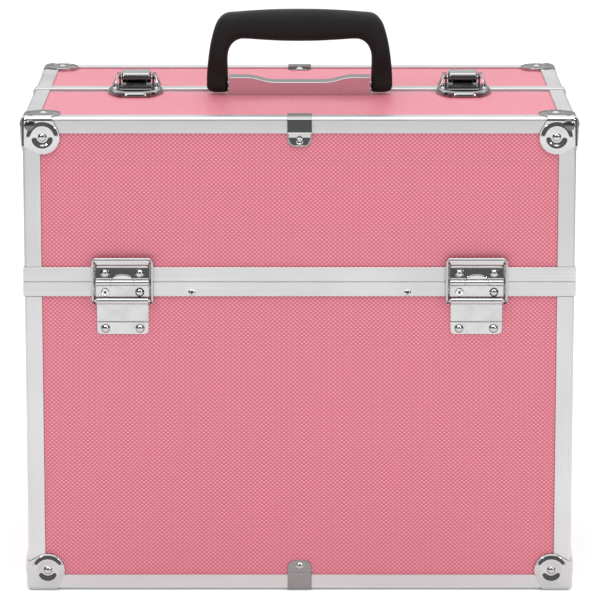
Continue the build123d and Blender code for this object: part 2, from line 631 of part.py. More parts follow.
def make_handle():
    """The carrying handle, upright, with its bracket and pins. Heights are from the top panel."""
    outer_right = [(64.6, 0), (63.2, 22.4), (59, 43.5), (52.7, 54), (42.2, 56.1)]
    outer_left = [(-x, z) for x, z in reversed(outer_right)]
    crown = ThreePointArc((42.2, 56.1), (0, 57.9), (-42.2, 56.1))
    shoulder_right = Spline(*outer_right)
    shoulder_left = Spline(*outer_left)
    inner_right = Line((49.5, 0), (49.9, 26))
    bend_right = ThreePointArc((49.9, 26), (46.4, 34), (37.2, 37.5))
    under = ThreePointArc((37.2, 37.5), (0, 35.8), (-37.2, 37.5))
    bend_left = ThreePointArc((-37.2, 37.5), (-46.4, 34), (-49.9, 26))
    inner_left = Line((-49.9, 26), (-49.5, 0))
    feet = Line((-64.6, 0), (-49.5, 0)) + Line((49.5, 0), (64.6, 0))
    edges = [shoulder_right, crown, shoulder_left, bend_right, inner_right, under, bend_left, inner_left, feet]
    outline = make_face([e for shape in edges for e in shape.edges()])
    slab = extrude(Plane.XZ * outline, GRIP_DEPTH / 2, both=True)
    slab = Pos(0, HANDLE_Y, Z_PANEL) * slab

    round_end = LEG_DEPTH / 2
    axis_z = Z_PANEL + PIVOT_RISE
    waist, wide = 14.0, 28.0  # heights between which the legs widen to the grip's depth
    half_deep = GRIP_DEPTH / 2
    profile = [
        (HANDLE_Y - round_end, axis_z), (HANDLE_Y - round_end, Z_PANEL + waist),
        (HANDLE_Y - half_deep, Z_PANEL + wide), (HANDLE_Y - half_deep, Z_PANEL + 60),
        (HANDLE_Y + half_deep, Z_PANEL + 60), (HANDLE_Y + half_deep, Z_PANEL + wide),
        (HANDLE_Y + round_end, Z_PANEL + waist), (HANDLE_Y + round_end, axis_z),
    ]
    reach = (-70, 70)
    grip = slab & (side_view(profile, reach) + rod(round_end, reach, HANDLE_Y, axis_z))
    bore = HANDLE_PIN_R + PIN_PLAY
    for way in (-1, 1):
        grip -= rod(bore, sorted((way * 48, way * 60.5)), HANDLE_Y, axis_z)
    add("handle_grip", grip)

    def bracket_outline(inset):
        x, end, dip = BRACKET_HALF - inset, 12.6 - inset, 9.2 - inset
        rise = [(14, dip), (21, dip + 0.3), (27, (end + dip) / 2), (33, end - 0.3), (40, end), (x, end)]
        top = Spline(*[(-a, b) for a, b in reversed(rise)], (0, dip), *rise)
        floor = 0 if inset == 0 else SKIN
        sides = Polyline((x, end), (x, floor), (-x, floor), (-x, end))
        face = make_face(list(top.edges()) + list(sides.edges()))
        depth = BRACKET_DEPTH / 2 - inset
        return Pos(0, HANDLE_Y, Z_PANEL) * extrude(Plane.XZ * face, depth, both=True)

    bracket = bracket_outline(0) - bracket_outline(SKIN)
    inside = BRACKET_DEPTH / 2 - SKIN
    bracket -= block((-34, 34), (HANDLE_Y - inside, HANDLE_Y + inside), (Z_PANEL, Z_PANEL + SKIN))
    for way in (-1, 1):
        bracket -= rod(bore, sorted((way * 46, way * 50)), HANDLE_Y, axis_z)
        pin = rod(HANDLE_PIN_R, sorted((way * 46.5, way * 60)), HANDLE_Y, axis_z)
        pin += rod(HANDLE_PIN_R + 1, sorted((way * 46.5, way * 47.5)), HANDLE_Y, axis_z)
        add("handle_pins", pin)
        spot = (way * 40, HANDLE_Y, Z_PANEL + SKIN)
        hosts = ["handle_bracket", "front_lid_top_panel"]
        rivet("front_lid_rivets", hosts, spot, (0, 0, 1), SKIN + BOARD)
    add("handle_bracket", bracket)


def latch_plate(points, z):
    """A flat plate with the outline points, over the span z."""
    return Pos(0, 0, z[0]) * extrude(make_face(Polyline(*points, close=True)), z[1] - z[0])


def latch_lever():
    """The lever, an arched plate that wraps the latch pin. Its outline is (y, rise) from the base plate."""
    over = Spline((1, 5.5), (5, 9), (10, 10), (14.5, 8.4), (17.6, 4.5))
    under = Spline((16.6, 4.5), (14, 7.5), (10, 9), (5.4, 8.1), (1.7, 4.8))
    lip, tail = Line((1.7, 4.8), (1, 5.5)), Line((17.6, 4.5), (16.6, 4.5))
    face = make_face([e for c in (over, tail, under, lip) for e in c.edges()])
    width = (-LEVER_HALF, LEVER_HALF)
    sheet = Plane.YZ.offset(-LEVER_HALF).location * extrude(face, 2 * LEVER_HALF)
    lever = sheet + rod(3.6, width, LATCH_PIN_Y, LATCH_PIN_RISE)
    return Pos(0, 0, Z_LATCH) * (lever - rod(LATCH_PIN_R + PIN_PLAY, width, LATCH_PIN_Y, LATCH_PIN_RISE))


def latch_hook(lever):
    """The pull plate under the lever, with two ears that meet the lever's underside."""
    plate = [(2.5, 1.9), (3.2, 1), (12, 1), (12, 2.5), (3.2, 2.5)]
    hook = side_view(plate, (-7, 7))
    for x in (-7, 6):
        hook += block((x, x + 1), (6, 10.2), (1, 8.8))
    hook = Pos(0, 0, Z_LATCH) * hook
    return hook - lever


def make_latches():
    seam_side = 1.0
    base = latch_plate([(-17, 1), (17, 1), (17, 9), (12.5, 20), (-12.5, 20), (-17, 9)], (Z_STRIP, Z_LATCH))
    behind_strip = CENTRE_GAP + STRIP_WIDTH + JOINT_GAP
    pad = latch_plate([(-15.1, behind_strip), (15.1, behind_strip), (12.5, 20), (-12.5, 20)], (Z_PANEL, Z_STRIP))
    base += pad
    for x in (-12.2, 11):
        cheek = block((x, x + SKIN), (9.5, 18), (Z_LATCH, Z_LATCH + 8))
        base += fillet(cheek.edges().filter_by(Axis.X).group_by(Axis.Z)[-1], 3)
    pin_z = Z_LATCH + LATCH_PIN_RISE
    base -= rod(LATCH_PIN_R + PIN_PLAY, (-13, 13), LATCH_PIN_Y, pin_z)

    rim_line = [(-17, -seam_side), (17, -seam_side), (17, -10), (11, -28), (-11, -28), (-17, -10)]
    inside = [(-15.8, 2), (15.8, 2), (15.8, -9.8), (10.2, -26.8), (-10.2, -26.8), (-15.8, -9.8)]
    window = [(-11, 2), (11, 2), (11, -12), (8, -21), (-8, -21), (-11, -12)]
    keeper = latch_plate(rim_line, (Z_PANEL, Z_LATCH))
    keeper -= latch_plate(inside, (Z_PANEL, Z_LATCH - SKIN))
    keeper -= latch_plate(window, (Z_PANEL, Z_LATCH))
    for x in (-17, 11.8):
        keeper += block((x, x + 5.2), (-9, -seam_side), (Z_PANEL, Z_LATCH))
    keeper += rod(1.0, (-12, 12), -6.5, Z_LATCH - 1.2)

    lever = latch_lever()
    hook = latch_hook(lever)
    pin = rod(LATCH_PIN_R, (-12.8, 12.8), LATCH_PIN_Y, pin_z)
    for x, name in ((-LATCH_X, "left"), (LATCH_X, "right")):
        move = Pos(x, 0, 0)
        add("latch_bases", move * base)
        add("latch_keepers", move * keeper)
        add("latch_pins", move * pin)
        add(f"latch_lever_{name}", move * lever)
        add(f"latch_hook_{name}", move * hook)
        for way in (-1, 1):
            base_spot = (x + way * 14.7, 5.5, Z_LATCH)
            base_hosts = ["latch_bases", "rear_lid_closing_profiles", "rear_lid_top_panel"]
            rivet("rear_lid_rivets", base_hosts, base_spot, (0, 0, 1), Z_LATCH - Z_ROOF, head=(2, 1))
            keeper_spot = (x + way * 14.4, -5, Z_LATCH)
            keeper_hosts = ["latch_keepers", "front_lid_top_panel"]
            rivet("front_lid_rivets", keeper_hosts, keeper_spot, (0, 0, 1), Z_LATCH - Z_ROOF, head=(2, 1))


def boxes_meet(a, b):
    """Whether two shapes' bounding boxes overlap."""
    p, q = a.bounding_box(), b.bounding_box()
    low = (p.min.X <= q.max.X, p.min.Y <= q.max.Y, p.min.Z <= q.max.Z)
    high = (p.max.X >= q.min.X, p.max.Y >= q.min.Y, p.max.Z >= q.min.Z)
    return all(low) and all(high)


def drill_holes():
    for name, solids in nodes.items():
        tools = [tool for hosts, tool in holes if name in hosts]
        if not tools:
            continue
        drilled = []
        for solid in solids:
            near = [tool for tool in tools if boxes_meet(solid, tool)]
            drilled.extend((solid - near).solids() if near else [solid])
        nodes[name] = drilled


make_base_shell()
make_base_profiles()
for half_name in ("front", "rear"):
    make_lid_shell(half_name)
    make_lid_profiles(half_name)
    make_linkage(half_name)
make_ball_corners()
make_edge_clips()
make_hinges()
make_rim_rivets()
make_handle()
make_latches()
drill_holes()

for node_name, node_solids in nodes.items():
    export_step(Compound(children=node_solids), f"parts/{node_name}.step")
print(len(nodes), "nodes,", sum(len(s) for s in nodes.values()), "solids")
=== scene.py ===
import json
from math import cos, pi, radians, sin, sqrt

import bmesh
import bpy
from mathutils import Matrix, Vector

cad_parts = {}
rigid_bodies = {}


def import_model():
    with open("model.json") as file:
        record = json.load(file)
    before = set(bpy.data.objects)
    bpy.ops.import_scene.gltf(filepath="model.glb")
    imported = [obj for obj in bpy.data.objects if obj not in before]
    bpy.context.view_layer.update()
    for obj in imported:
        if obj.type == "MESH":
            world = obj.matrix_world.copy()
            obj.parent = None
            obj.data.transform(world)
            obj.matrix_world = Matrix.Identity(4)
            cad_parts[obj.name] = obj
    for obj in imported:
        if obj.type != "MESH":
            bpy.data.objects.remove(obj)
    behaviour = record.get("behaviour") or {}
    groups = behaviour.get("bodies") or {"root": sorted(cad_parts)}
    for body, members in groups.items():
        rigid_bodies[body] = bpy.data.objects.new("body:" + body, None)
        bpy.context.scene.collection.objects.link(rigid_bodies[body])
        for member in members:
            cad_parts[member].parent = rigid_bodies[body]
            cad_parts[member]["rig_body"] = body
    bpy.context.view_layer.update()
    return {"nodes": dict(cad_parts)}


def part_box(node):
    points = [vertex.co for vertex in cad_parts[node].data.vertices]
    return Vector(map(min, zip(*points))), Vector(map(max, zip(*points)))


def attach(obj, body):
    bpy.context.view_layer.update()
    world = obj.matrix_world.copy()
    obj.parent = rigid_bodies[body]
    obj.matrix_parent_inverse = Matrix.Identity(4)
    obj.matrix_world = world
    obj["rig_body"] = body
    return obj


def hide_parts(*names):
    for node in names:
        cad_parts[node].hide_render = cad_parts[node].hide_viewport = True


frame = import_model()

MM = 0.001
NODES = frame["nodes"]
HALVES = ("front", "rear")

# ---------------------------------------------------------------- materials

# Noise lies mostly between these two values.
NOISE_LOW, NOISE_HIGH = 0.3, 0.7
DOT_PITCH = (3.02 * MM, 2.8 * MM)
DOT_HEIGHT = 0.16 * MM


def rgb(r, g, b):
    return (r, g, b, 1.0)


def add_node(tree, kind, inputs=None, **settings):
    """A new shader node, each of whose inputs is linked to an output or set to a value."""
    made = tree.nodes.new(kind)
    for key, value in settings.items():
        setattr(made, key, value)
    for key, value in (inputs or {}).items():
        if hasattr(value, "is_output"):
            tree.links.new(value, made.inputs[key])
        else:
            made.inputs[key].default_value = value
    return made


class Look:
    """A procedural material under construction."""

    def __init__(self, name, **inputs):
        self.material = bpy.data.materials.new(name)
        self.material.use_nodes = True
        self.tree = self.material.node_tree
        self.bsdf = self.tree.nodes["Principled BSDF"]
        for key, value in inputs.items():
            self.bsdf.inputs[key.replace("_", " ")].default_value = value

    def node(self, kind, inputs=None, **settings):
        return add_node(self.tree, kind, inputs, **settings)

    def math(self, operation, a, b=0.0):
        return self.node("ShaderNodeMath", {0: a, 1: b}, operation=operation).outputs[0]

    def place(self):
        """The point's place on the object, in metres."""
        return self.node("ShaderNodeTexCoord").outputs["Object"]

    def stretched(self, scale):
        """The place scaled by a factor for each axis."""
        made = self.node("ShaderNodeVectorMath", {0: self.place(), 1: scale}, operation="MULTIPLY")
        return made.outputs[0]

    def noise(self, vector, scale=1.0, detail=2.0, roughness=0.5):
        inputs = {"Vector": vector, "Scale": scale, "Detail": detail, "Roughness": roughness}
        return self.node("ShaderNodeTexNoise", inputs).outputs["Fac"]

    def ranged(self, value, low, high, to_low, to_high, smooth=False):
        kind = "SMOOTHSTEP" if smooth else "LINEAR"
        inputs = {"Value": value, 1: low, 2: high, 3: to_low, 4: to_high}
        return self.node("ShaderNodeMapRange", inputs, interpolation_type=kind).outputs[0]

    def spread(self, noise, to_low=0.0, to_high=1.0):
        """Noise stretched over a range."""
        return self.ranged(noise, NOISE_LOW, NOISE_HIGH, to_low, to_high)

    def mixed(self, share, a, b):
        made = self.node("ShaderNodeMix", {0: share, 6: a, 7: b}, data_type="RGBA")
        return made.outputs[2]

    def bump(self, height, distance, strength=1.0, normal=None):
        inputs = {"Height": height, "Distance": distance, "Strength": strength}
        if normal is not None:
            inputs["Normal"] = normal
        return self.node("ShaderNodeBump", inputs).outputs[0]

    def wire(self, key, output):
        self.tree.links.new(output, self.bsdf.inputs[key])


def pink_laminate(name, across, up):
    """Pink laminate embossed with a staggered lattice of fine raised dots, on the plane of two axes."""
    look = Look(name, Roughness=0.42, Specular_IOR_Level=0.5)
    axes = look.node("ShaderNodeSeparateXYZ", {0: look.place()}).outputs
    waves = []
    for axis, pitch in zip((across, up), DOT_PITCH):
        turn = look.math("MULTIPLY", axes[axis], 2 * pi / pitch)
        waves.append(look.math("COSINE", turn))
    lattice = look.math("MULTIPLY", waves[0], waves[1])
    dots = look.ranged(lattice, -0.05, 0.75, 0.0, 1.0, smooth=True)
    colour = look.mixed(dots, rgb(0.56, 0.135, 0.185), rgb(0.86, 0.31, 0.38))
    cloud = look.noise(look.place(), scale=9.0, detail=3.0)
    shade = look.spread(cloud, 0.0, 0.12)
    colour = look.mixed(shade, colour, rgb(0.60, 0.17, 0.23))
    look.wire("Base Color", colour)
    grain = look.noise(look.place(), scale=2600.0, detail=1.0)
    fine = look.bump(grain, 0.01 * MM, 0.5)
    look.wire("Normal", look.bump(dots, DOT_HEIGHT, 0.8, fine))
    return look.material


def extruded_aluminium(name, run):
    """Satin aluminium with fine lines along the extrusion's run."""
    look = Look(name, Metallic=1.0, Roughness=0.36)
    scale = [2600.0, 2600.0, 2600.0]
    scale[run] = 6.0
    lines = look.noise(look.stretched(scale), detail=3.0, roughness=0.6)
    cloud = look.noise(look.place(), scale=22.0, detail=2.0)
    tint = look.ranged(lines, 0.25, 0.75, 0.0, 1.0)
    colour = look.mixed(tint, rgb(0.565, 0.565, 0.57), rgb(0.635, 0.635, 0.64))
    look.wire("Base Color", colour)
    look.wire("Roughness", look.spread(cloud, 0.33, 0.42))
    look.wire("Normal", look.bump(lines, 0.012 * MM, 0.6))
    return look.material


def chrome(name, tone, rough=0.07):
    """Bright plating with faint polishing waves and hairline scratches."""
    look = Look(name, Metallic=1.0, Roughness=rough)
    waves = look.noise(look.place(), scale=120.0, detail=1.0)
    hairs = look.noise(look.stretched((5200.0, 700.0, 900.0)), detail=2.0, roughness=0.7)
    dark, light = rgb(tone, tone, tone * 0.995), rgb(tone * 1.06, tone * 1.06, tone * 1.07)
    look.wire("Base Color", look.mixed(look.spread(hairs), dark, light))
    look.wire("Roughness", look.spread(waves, rough * 0.7, rough * 1.6))
    fine = look.bump(hairs, 0.0012 * MM, 0.4)
    look.wire("Normal", look.bump(waves, 0.02 * MM, 0.3, fine))
    return look.material


def moulded(name, tone, rough, grain_size, depth, specular=0.5):
    """Moulded plastic with an even fine grain and a little unevenness in its gloss."""
    look = Look(name, Roughness=rough, Specular_IOR_Level=specular)
    grain = look.noise(look.place(), scale=grain_size, detail=2.0, roughness=0.6)
    cloud = look.noise(look.place(), scale=45.0, detail=2.0)
    dark, light = rgb(*(c * 0.88 for c in tone)), rgb(*(c * 1.15 for c in tone))
    look.wire("Base Color", look.mixed(look.spread(grain), dark, light))
    look.wire("Roughness", look.spread(cloud, rough - 0.04, rough + 0.06))
    look.wire("Normal", look.bump(grain, depth, 0.7))
    return look.material


def short_pile(name):
    """Black lining cloth with a short pile."""
    look = Look(name, Roughness=0.95, Specular_IOR_Level=0.15, Sheen_Weight=0.35, Sheen_Roughness=0.5)
    fibres = look.noise(look.place(), scale=1900.0, detail=3.0, roughness=0.7)
    patches = look.noise(look.place(), scale=60.0, detail=2.0)
    share = look.ranged(look.math("ADD", fibres, look.math("MULTIPLY", patches, 0.5)), 0.5, 1.0, 0.0, 1.0)
    look.wire("Base Color", look.mixed(share, rgb(0.008, 0.008, 0.009), rgb(0.035, 0.035, 0.038)))
    look.wire("Normal", look.bump(fibres, 0.25 * MM, 0.9))
    return look.material


def zinc_plate(name):
    """Zinc plated steel with rolled streaks and a dull gloss."""
    look = Look(name, Metallic=1.0, Roughness=0.34)
    streaks = look.noise(look.stretched((900.0, 60.0, 900.0)), detail=3.0, roughness=0.6)
    cloud = look.noise(look.place(), scale=90.0, detail=3.0)
    look.wire("Base Color", look.mixed(look.spread(cloud), rgb(0.52, 0.52, 0.53), rgb(0.66, 0.66, 0.66)))
    look.wire("Roughness", look.spread(streaks, 0.26, 0.42))
    look.wire("Normal", look.bump(streaks, 0.01 * MM, 0.6))
    return look.material


PINK = {
    "xz": pink_laminate("pink_panel_upright", 0, 2),
    "yz": pink_laminate("pink_panel_side", 1, 2),
    "xy": pink_laminate("pink_panel_flat", 0, 1),
}
ALUMINIUM = [extruded_aluminium(f"aluminium_{'xyz'[i]}", i) for i in range(3)]
CHROME = chrome("chrome_plate", tone=0.48)
BRIGHT = chrome("bright_plate", tone=0.46, rough=0.16)
RIVET = chrome("rivet_nickel", tone=0.45, rough=0.12)
POLISHED = chrome("bracket_chrome", tone=0.62)
# Near-black plating for the parts and plates put where the hollows only hold shade: painted shade.
SHADED = chrome("painted_shade_plate", tone=0.08, rough=0.35)
NICKEL = chrome("latch_nickel", tone=0.25, rough=0.12)
# A darker copy of the nickel: painted shade on the latch bases and keepers, painted dark reflection on the
# corners' top rims and tip balls.
SHADE_AND_REFLECTION_NICKEL = chrome("nickel_painted_shade_and_reflection", tone=0.14, rough=0.2)
POP = chrome("pop_rivet_bright", tone=0.85, rough=0.2)
GRIP = moulded("grip_black", (0.012, 0.0115, 0.0115), 0.6, 1500.0, 0.05 * MM, 0.2)
TRAY = moulded("tray_black", (0.024, 0.024, 0.026), 0.36, 900.0, 0.03 * MM)
LINING = short_pile("lining_black")
ZINC = zinc_plate("plated_steel")

# ---------------------------------------------------------------- pieces


# Points nearer than this, in metres, become one.
WELD = 1e-7
# Edges sharper than this many degrees are eased.
EASED_ANGLE = 28.0


def body_of(node):
    return NODES[node]["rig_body"]


def islands(bm):
    """The connected groups of faces."""
    left = set(bm.faces)
    groups = []
    while left:
        group, waiting = set(), [left.pop()]
        while waiting:
            face = waiting.pop()
            group.add(face)
            for edge in face.edges:
                for other in edge.link_faces:
                    if other in left:
                        left.discard(other)
                        waiting.append(other)
        groups.append(group)
    return groups


def paint_by_run(bm):
    """Gives each connected part the material slot of the axis that it is longest along."""
    for group in islands(bm):
        points = [v.co for face in group for v in face.verts]
        spans = [max(p[i] for p in points) - min(p[i] for p in points) for i in range(3)]
        run = spans.index(max(spans))
        for face in group:
            face.material_index = run


def finished(name, bm, materials, bevel=0.0, segments=2, flat=35.0):
    """A new object from a bmesh, with its sharp edges eased by a bevel, if one is given.

    Its faces are shaded smooth, except across edges of more than flat degrees.
    """
    mesh = bpy.data.meshes.new(name)
    bm.to_mesh(mesh)
    bm.free()
    for material in materials:
        mesh.materials.append(material)
    obj = bpy.data.objects.new(name, mesh)
    bpy.context.scene.collection.objects.link(obj)
    if bevel:
        ease = obj.modifiers.new("ease", "BEVEL")
        ease.width = bevel
        ease.segments = segments
        ease.limit_method = "ANGLE"
        ease.angle_limit = radians(EASED_ANGLE)
        ease.use_clamp_overlap = False
        ease.miter_outer = "MITER_ARC"
        bpy.context.view_layer.update()
        graph = bpy.context.evaluated_depsgraph_get()
        eased = bpy.data.meshes.new_from_object(obj.evaluated_get(graph))
        obj.modifiers.clear()
        obj.data = eased
        bpy.data.meshes.remove(mesh)
        eased.name = name
    for polygon in obj.data.polygons:
        polygon.use_smooth = True
    obj.data.set_sharp_from_angle(angle=radians(flat))
    if bevel:
        even = obj.modifiers.new("even", "WEIGHTED_NORMAL")
        even.keep_sharp = True
    return obj


def standing_for(obj, *nodes):
    """obj rides as the first of the nodes does, and stands for all of them."""
    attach(obj, body_of(nodes[0]))
    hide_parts(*nodes)
    return obj


def cad_bmesh(node):
    """The CAD node's mesh as welded faces, each flat face in one piece."""
    bm = bmesh.new()
    bm.from_mesh(NODES[node].data)
    for face in bm.faces:
        face.material_index = 0
    bmesh.ops.remove_doubles(bm, verts=bm.verts, dist=1e-6)
    bmesh.ops.dissolve_limit(
        bm, angle_limit=radians(1.0), verts=bm.verts, edges=bm.edges, use_dissolve_boundaries=False
    )
    return bm


def refine(node, materials, bevel, segments=2, by_run=False):
    """The CAD node with its edges eased by a bevel in mm."""
    bm = cad_bmesh(node)
    if by_run:
        paint_by_run(bm)
    obj = finished(node + "_eased", bm, materials, bevel * MM, segments)
    return standing_for(obj, node)


def dress(node, *materials):
    """Gives a CAD node that stays its material."""
    slots = NODES[node].data.materials
    slots.clear()
    for material in materials:
        slots.append(material)


def superellipse(angle, power):
    """The point at an angle round a square with rounded corners, which is 1 from its middle to each side."""
    c, s = cos(angle), sin(angle)
    x = abs(c) ** (2 / power) * (1 if c >= 0 else -1)
    y = abs(s) ** (2 / power) * (1 if s >= 0 else -1)
    return x, y


def ring_mesh(rings):
    """A tube through rings of points, closed by a face at each end."""
    bm = bmesh.new()
    rows = [[bm.verts.new(p) for p in ring] for ring in rings]
    count = len(rows[0])
    for low, high in zip(rows, rows[1:]):
        for i in range(count):
            j = (i + 1) % count
            bm.faces.new((low[i], low[j], high[j], high[i]))
    bm.faces.new(rows[0][::-1])
    bm.faces.new(rows[-1])
    bmesh.ops.recalc_face_normals(bm, faces=bm.faces)
    return bm


def smooth_line(points, steps):
    """A Catmull-Rom line through 2-D points, with a number of steps from each to the next."""
    ends = [tuple(2 * a - b for a, b in zip(points[0], points[1]))]
    tail = [tuple(2 * a - b for a, b in zip(points[-1], points[-2]))]
    p = ends + list(points) + tail
    line = []
    for i in range(1, len(p) - 2):
        for k in range(steps):
            t = k / steps
            line.append(tuple(
                0.5 * (2 * b + (c - a) * t + (2 * a - 5 * b + 4 * c - d) * t * t
                       + (3 * b - a - 3 * c + d) * t**3)
                for a, b, c, d in zip(p[i - 1], p[i], p[i + 1], p[i + 2])
            ))
    line.append(tuple(points[-1]))
    return line


# ---------------------------------------------------------------- handle

# The grip's outer and inner lines on the right half, as (x, height above the top panel) in mm, from its foot
# to the middle of the grip. Points with the same place in both lists face each other across the section.
GRIP_OUTER = [(64.4, 5), (64.3, 13), (63.4, 24), (61.8, 35), (59.2, 45.5), (56.2, 52.0), (51.0, 56.4),
              (42.2, 57.5), (30, 58.4), (15, 59.1), (0, 59.3)]
GRIP_INNER = [(49.5, 5), (49.6, 13), (49.8, 20.5), (49.7, 27.4), (48.3, 32.6), (45.6, 36.3), (41.6, 38.5),
              (37.0, 38.8), (26, 38.1), (13, 37.4), (0, 37.2)]
PANEL_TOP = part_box("front_lid_top_panel")[1].z
PIN_LOW, PIN_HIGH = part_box("handle_pins")
HANDLE_Y = (PIN_LOW.y + PIN_HIGH.y) / 2
PIN_Z = (PIN_LOW.z + PIN_HIGH.z) / 2
PIN_HEIGHT = (PIN_Z - PANEL_TOP) / MM
# Half the depth of a leg and of the grip, and the heights over which the one swells into the other.
LEG_HALF, GRIP_HALF = 6.5, 10.0
SWELL_FROM, SWELL_OVER = 13.0, 17.0
GRIP_SQUARENESS = 2.7
GRIP_AROUND = 40
# How far the legs' feet stop above the full round about the pins, and the rounding at their outer side.
FOOT_GAP, FOOT_ROUND, FOOT_RINGS = 1.2, 4.2, 12


def grip_half_depth(height):
    """Half the grip's depth at a height above the top panel."""
    share = min(1.0, max(0.0, (height - SWELL_FROM) / SWELL_OVER))
    share = share * share * (3 - 2 * share)
    return LEG_HALF + (GRIP_HALF - LEG_HALF) * share


def make_grip():
    """The moulded handle: rings of points from one leg's foot, over the grip, to the other's."""
    outer, inner = smooth_line(GRIP_OUTER, 6), smooth_line(GRIP_INNER, 6)
    (outer_foot, start), inner_foot = GRIP_OUTER[0], GRIP_INNER[0][0]
    stations = []
    foot = PIN_HEIGHT - LEG_HALF + FOOT_GAP
    for k in range(1, FOOT_RINGS):
        rise = (1 - cos(k / FOOT_RINGS * pi / 2)) * (start - foot)
        height = foot + rise
        inset = FOOT_ROUND - sqrt(max(0.0, FOOT_ROUND**2 - max(0.0, FOOT_ROUND - rise) ** 2))
        deep = sqrt(max(0.02, LEG_HALF**2 - (PIN_HEIGHT - height) ** 2))
        stations.append(((outer_foot - inset, height), (inner_foot + 0.35 * inset, height), deep))
    for o, i in zip(outer, inner):
        height = (o[1] + i[1]) / 2
        drop = PIN_HEIGHT - height
        deep = sqrt(LEG_HALF**2 - drop**2) if drop > 0 else grip_half_depth(height)
        stations.append((o, i, deep))
    mirrored = [((-o[0], o[1]), (-i[0], i[1]), d) for o, i, d in reversed(stations[:-1])]
    rings = []
    for o, i, deep in stations + mirrored:
        middle = Vector(((o[0] + i[0]) / 2, 0, (o[1] + i[1]) / 2))
        half = Vector(((o[0] - i[0]) / 2, 0, (o[1] - i[1]) / 2))
        ring = []
        for k in range(GRIP_AROUND):
            a, b = superellipse(2 * pi * k / GRIP_AROUND, GRIP_SQUARENESS)
            point = middle + half * a + Vector((0, deep * b, 0))
            ring.append(Vector((point.x * MM, HANDLE_Y + point.y * MM, PANEL_TOP + point.z * MM)))
        rings.append(ring)
    obj = finished("handle_grip_moulded", ring_mesh(rings), [GRIP], flat=60.0)
    return standing_for(obj, "handle_grip")


# ---------------------------------------------------------------- small pressed and turned parts


def turned(profile, place, around=48, closed=False):
    """A turned solid about the z axis of place.

    profile is (radius, height) in mm, from the axis back to the axis. Where closed is set, it is a ring clear
    of the axis.
    """
    bm = bmesh.new()
    rows = []
    for radius, height in profile:
        if radius == 0:
            rows.append([bm.verts.new(place @ Vector((0, 0, height * MM)))])
            continue
        row = []
        for k in range(around):
            turn = 2 * pi * k / around
            point = Vector((radius * cos(turn) * MM, radius * sin(turn) * MM, height * MM))
            row.append(bm.verts.new(place @ point))
        rows.append(row)
    pairs = list(zip(rows, rows[1:]))
    if closed:
        pairs.append((rows[-1], rows[0]))
    for a, b in pairs:
        for k in range(around):
            j = (k + 1) % around
            corners = [a[k % len(a)], a[j % len(a)], b[j % len(b)], b[k % len(b)]]
            bm.faces.new(list(dict.fromkeys(corners)))
    bmesh.ops.recalc_face_normals(bm, faces=bm.faces)
    return bm


def joined(parts):
    """One bmesh of several."""
    whole = bmesh.new()
    for part in parts:
        mesh = bpy.data.meshes.new("part")
        part.to_mesh(mesh)
        part.free()
        whole.from_mesh(mesh)
        bpy.data.meshes.remove(mesh)
    return whole


def facing_place(point, outward):
    """The placement whose z axis points outward from a point, with x kept level."""
    z = Vector(outward).normalized()
    x = Vector((1, 0, 0)) if abs(z.x) < 0.9 else Vector((0, 1, 0))
    y = z.cross(x).normalized()
    x = y.cross(z)
    place = Matrix((x, y, z)).transposed().to_4x4()
    place.translation = point
    return place


def riding(obj, node):
    """obj is an added piece on the node's body."""
    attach(obj, body_of(node))
    return obj


# The outer faces of the ball corners.
CORNER_X, _, CORNER_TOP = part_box("front_lid_ball_corners")[1]
CORNER_Y = -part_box("bottom_ball_corners")[0].y
DISH_FROM_EDGE = 14.4 * MM
# A raised round rim about each corner's dish, and a domed rivet in it, as (radius, height over plate) in mm.
CORNER_RIM = [(10.9, -0.3), (10.75, -0.02), (10.3, 0.1), (9.7, 0.3), (9.0, 0.56), (8.4, 0.78), (7.9, 0.88),
              (7.4, 0.9), (6.9, 0.8), (6.3, 0.55), (5.7, 0.26), (5.1, -0.02), (4.6, -0.25), (4.2, -0.4),
              (3.8, -0.46), (3.8, -0.7)]
CORNER_DOME = [(0, 1.15), (0.5, 1.12), (1.1, 1.0), (1.7, 0.75), (2.25, 0.4), (2.7, -0.05), (2.95, -0.4),
               (3.0, -0.6), (0, -0.6)]
# The round swelling at the tip of each upper corner: its radius, and how far its middle is inside the faces.
TIP_RADIUS, TIP_INSIDE = 7.7 * MM, 6.6 * MM


def corner_relief(node, dome_node, y_sides, top):
    """Rims and domed rivets on the front, side and, where top is set, top faces of the ball corners."""
    rims, top_rims, domes = [], [], []
    z = CORNER_TOP - DISH_FROM_EDGE if top else DISH_FROM_EDGE
    for y_side in y_sides:
        for side in (-1, 1):
            x, y = side * (CORNER_X - DISH_FROM_EDGE), y_side * (CORNER_Y - DISH_FROM_EDGE)
            spots = [((x, y_side * CORNER_Y, z), (0, y_side, 0)), ((side * CORNER_X, y, z), (side, 0, 0))]
            if top:
                spots.append(((x, y, CORNER_TOP), (0, 0, 1)))
            for point, outward in spots:
                place = facing_place(Vector(point), outward)
                (top_rims if outward[2] else rims).append(turned(CORNER_RIM, place, closed=True))
                domes.append(turned(CORNER_DOME, place))
    riding(finished(f"{node}_rims", joined(rims), [CHROME], flat=70.0), node)
    # The top faces' rims take the darker nickel instead of the chrome: a painted dark reflection.
    if top_rims:
        riding(finished(f"{node}_top_rims", joined(top_rims), [SHADE_AND_REFLECTION_NICKEL], flat=70.0), node)
    riding(finished(f"{dome_node}_corner_domes", joined(domes), [RIVET], flat=70.0), dome_node)


# Where lid and base meet. The hinges' shapes below are in mm from this seam and from a hinge's middle.
SEAM_Z = (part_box("base_rim_profiles")[1].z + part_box("front_lid_rim_profiles")[0].z) / 2
HINGE_X = 119.0 * MM
BARREL_Z = SEAM_Z - 12.5 * MM
BARREL_Y = 122.8 * MM
# The stay loop's half width, its top and the radius of its upper corners.
YOKE_HALF, YOKE_TOP, YOKE_TURN = 20.85, 17.2, 3.2
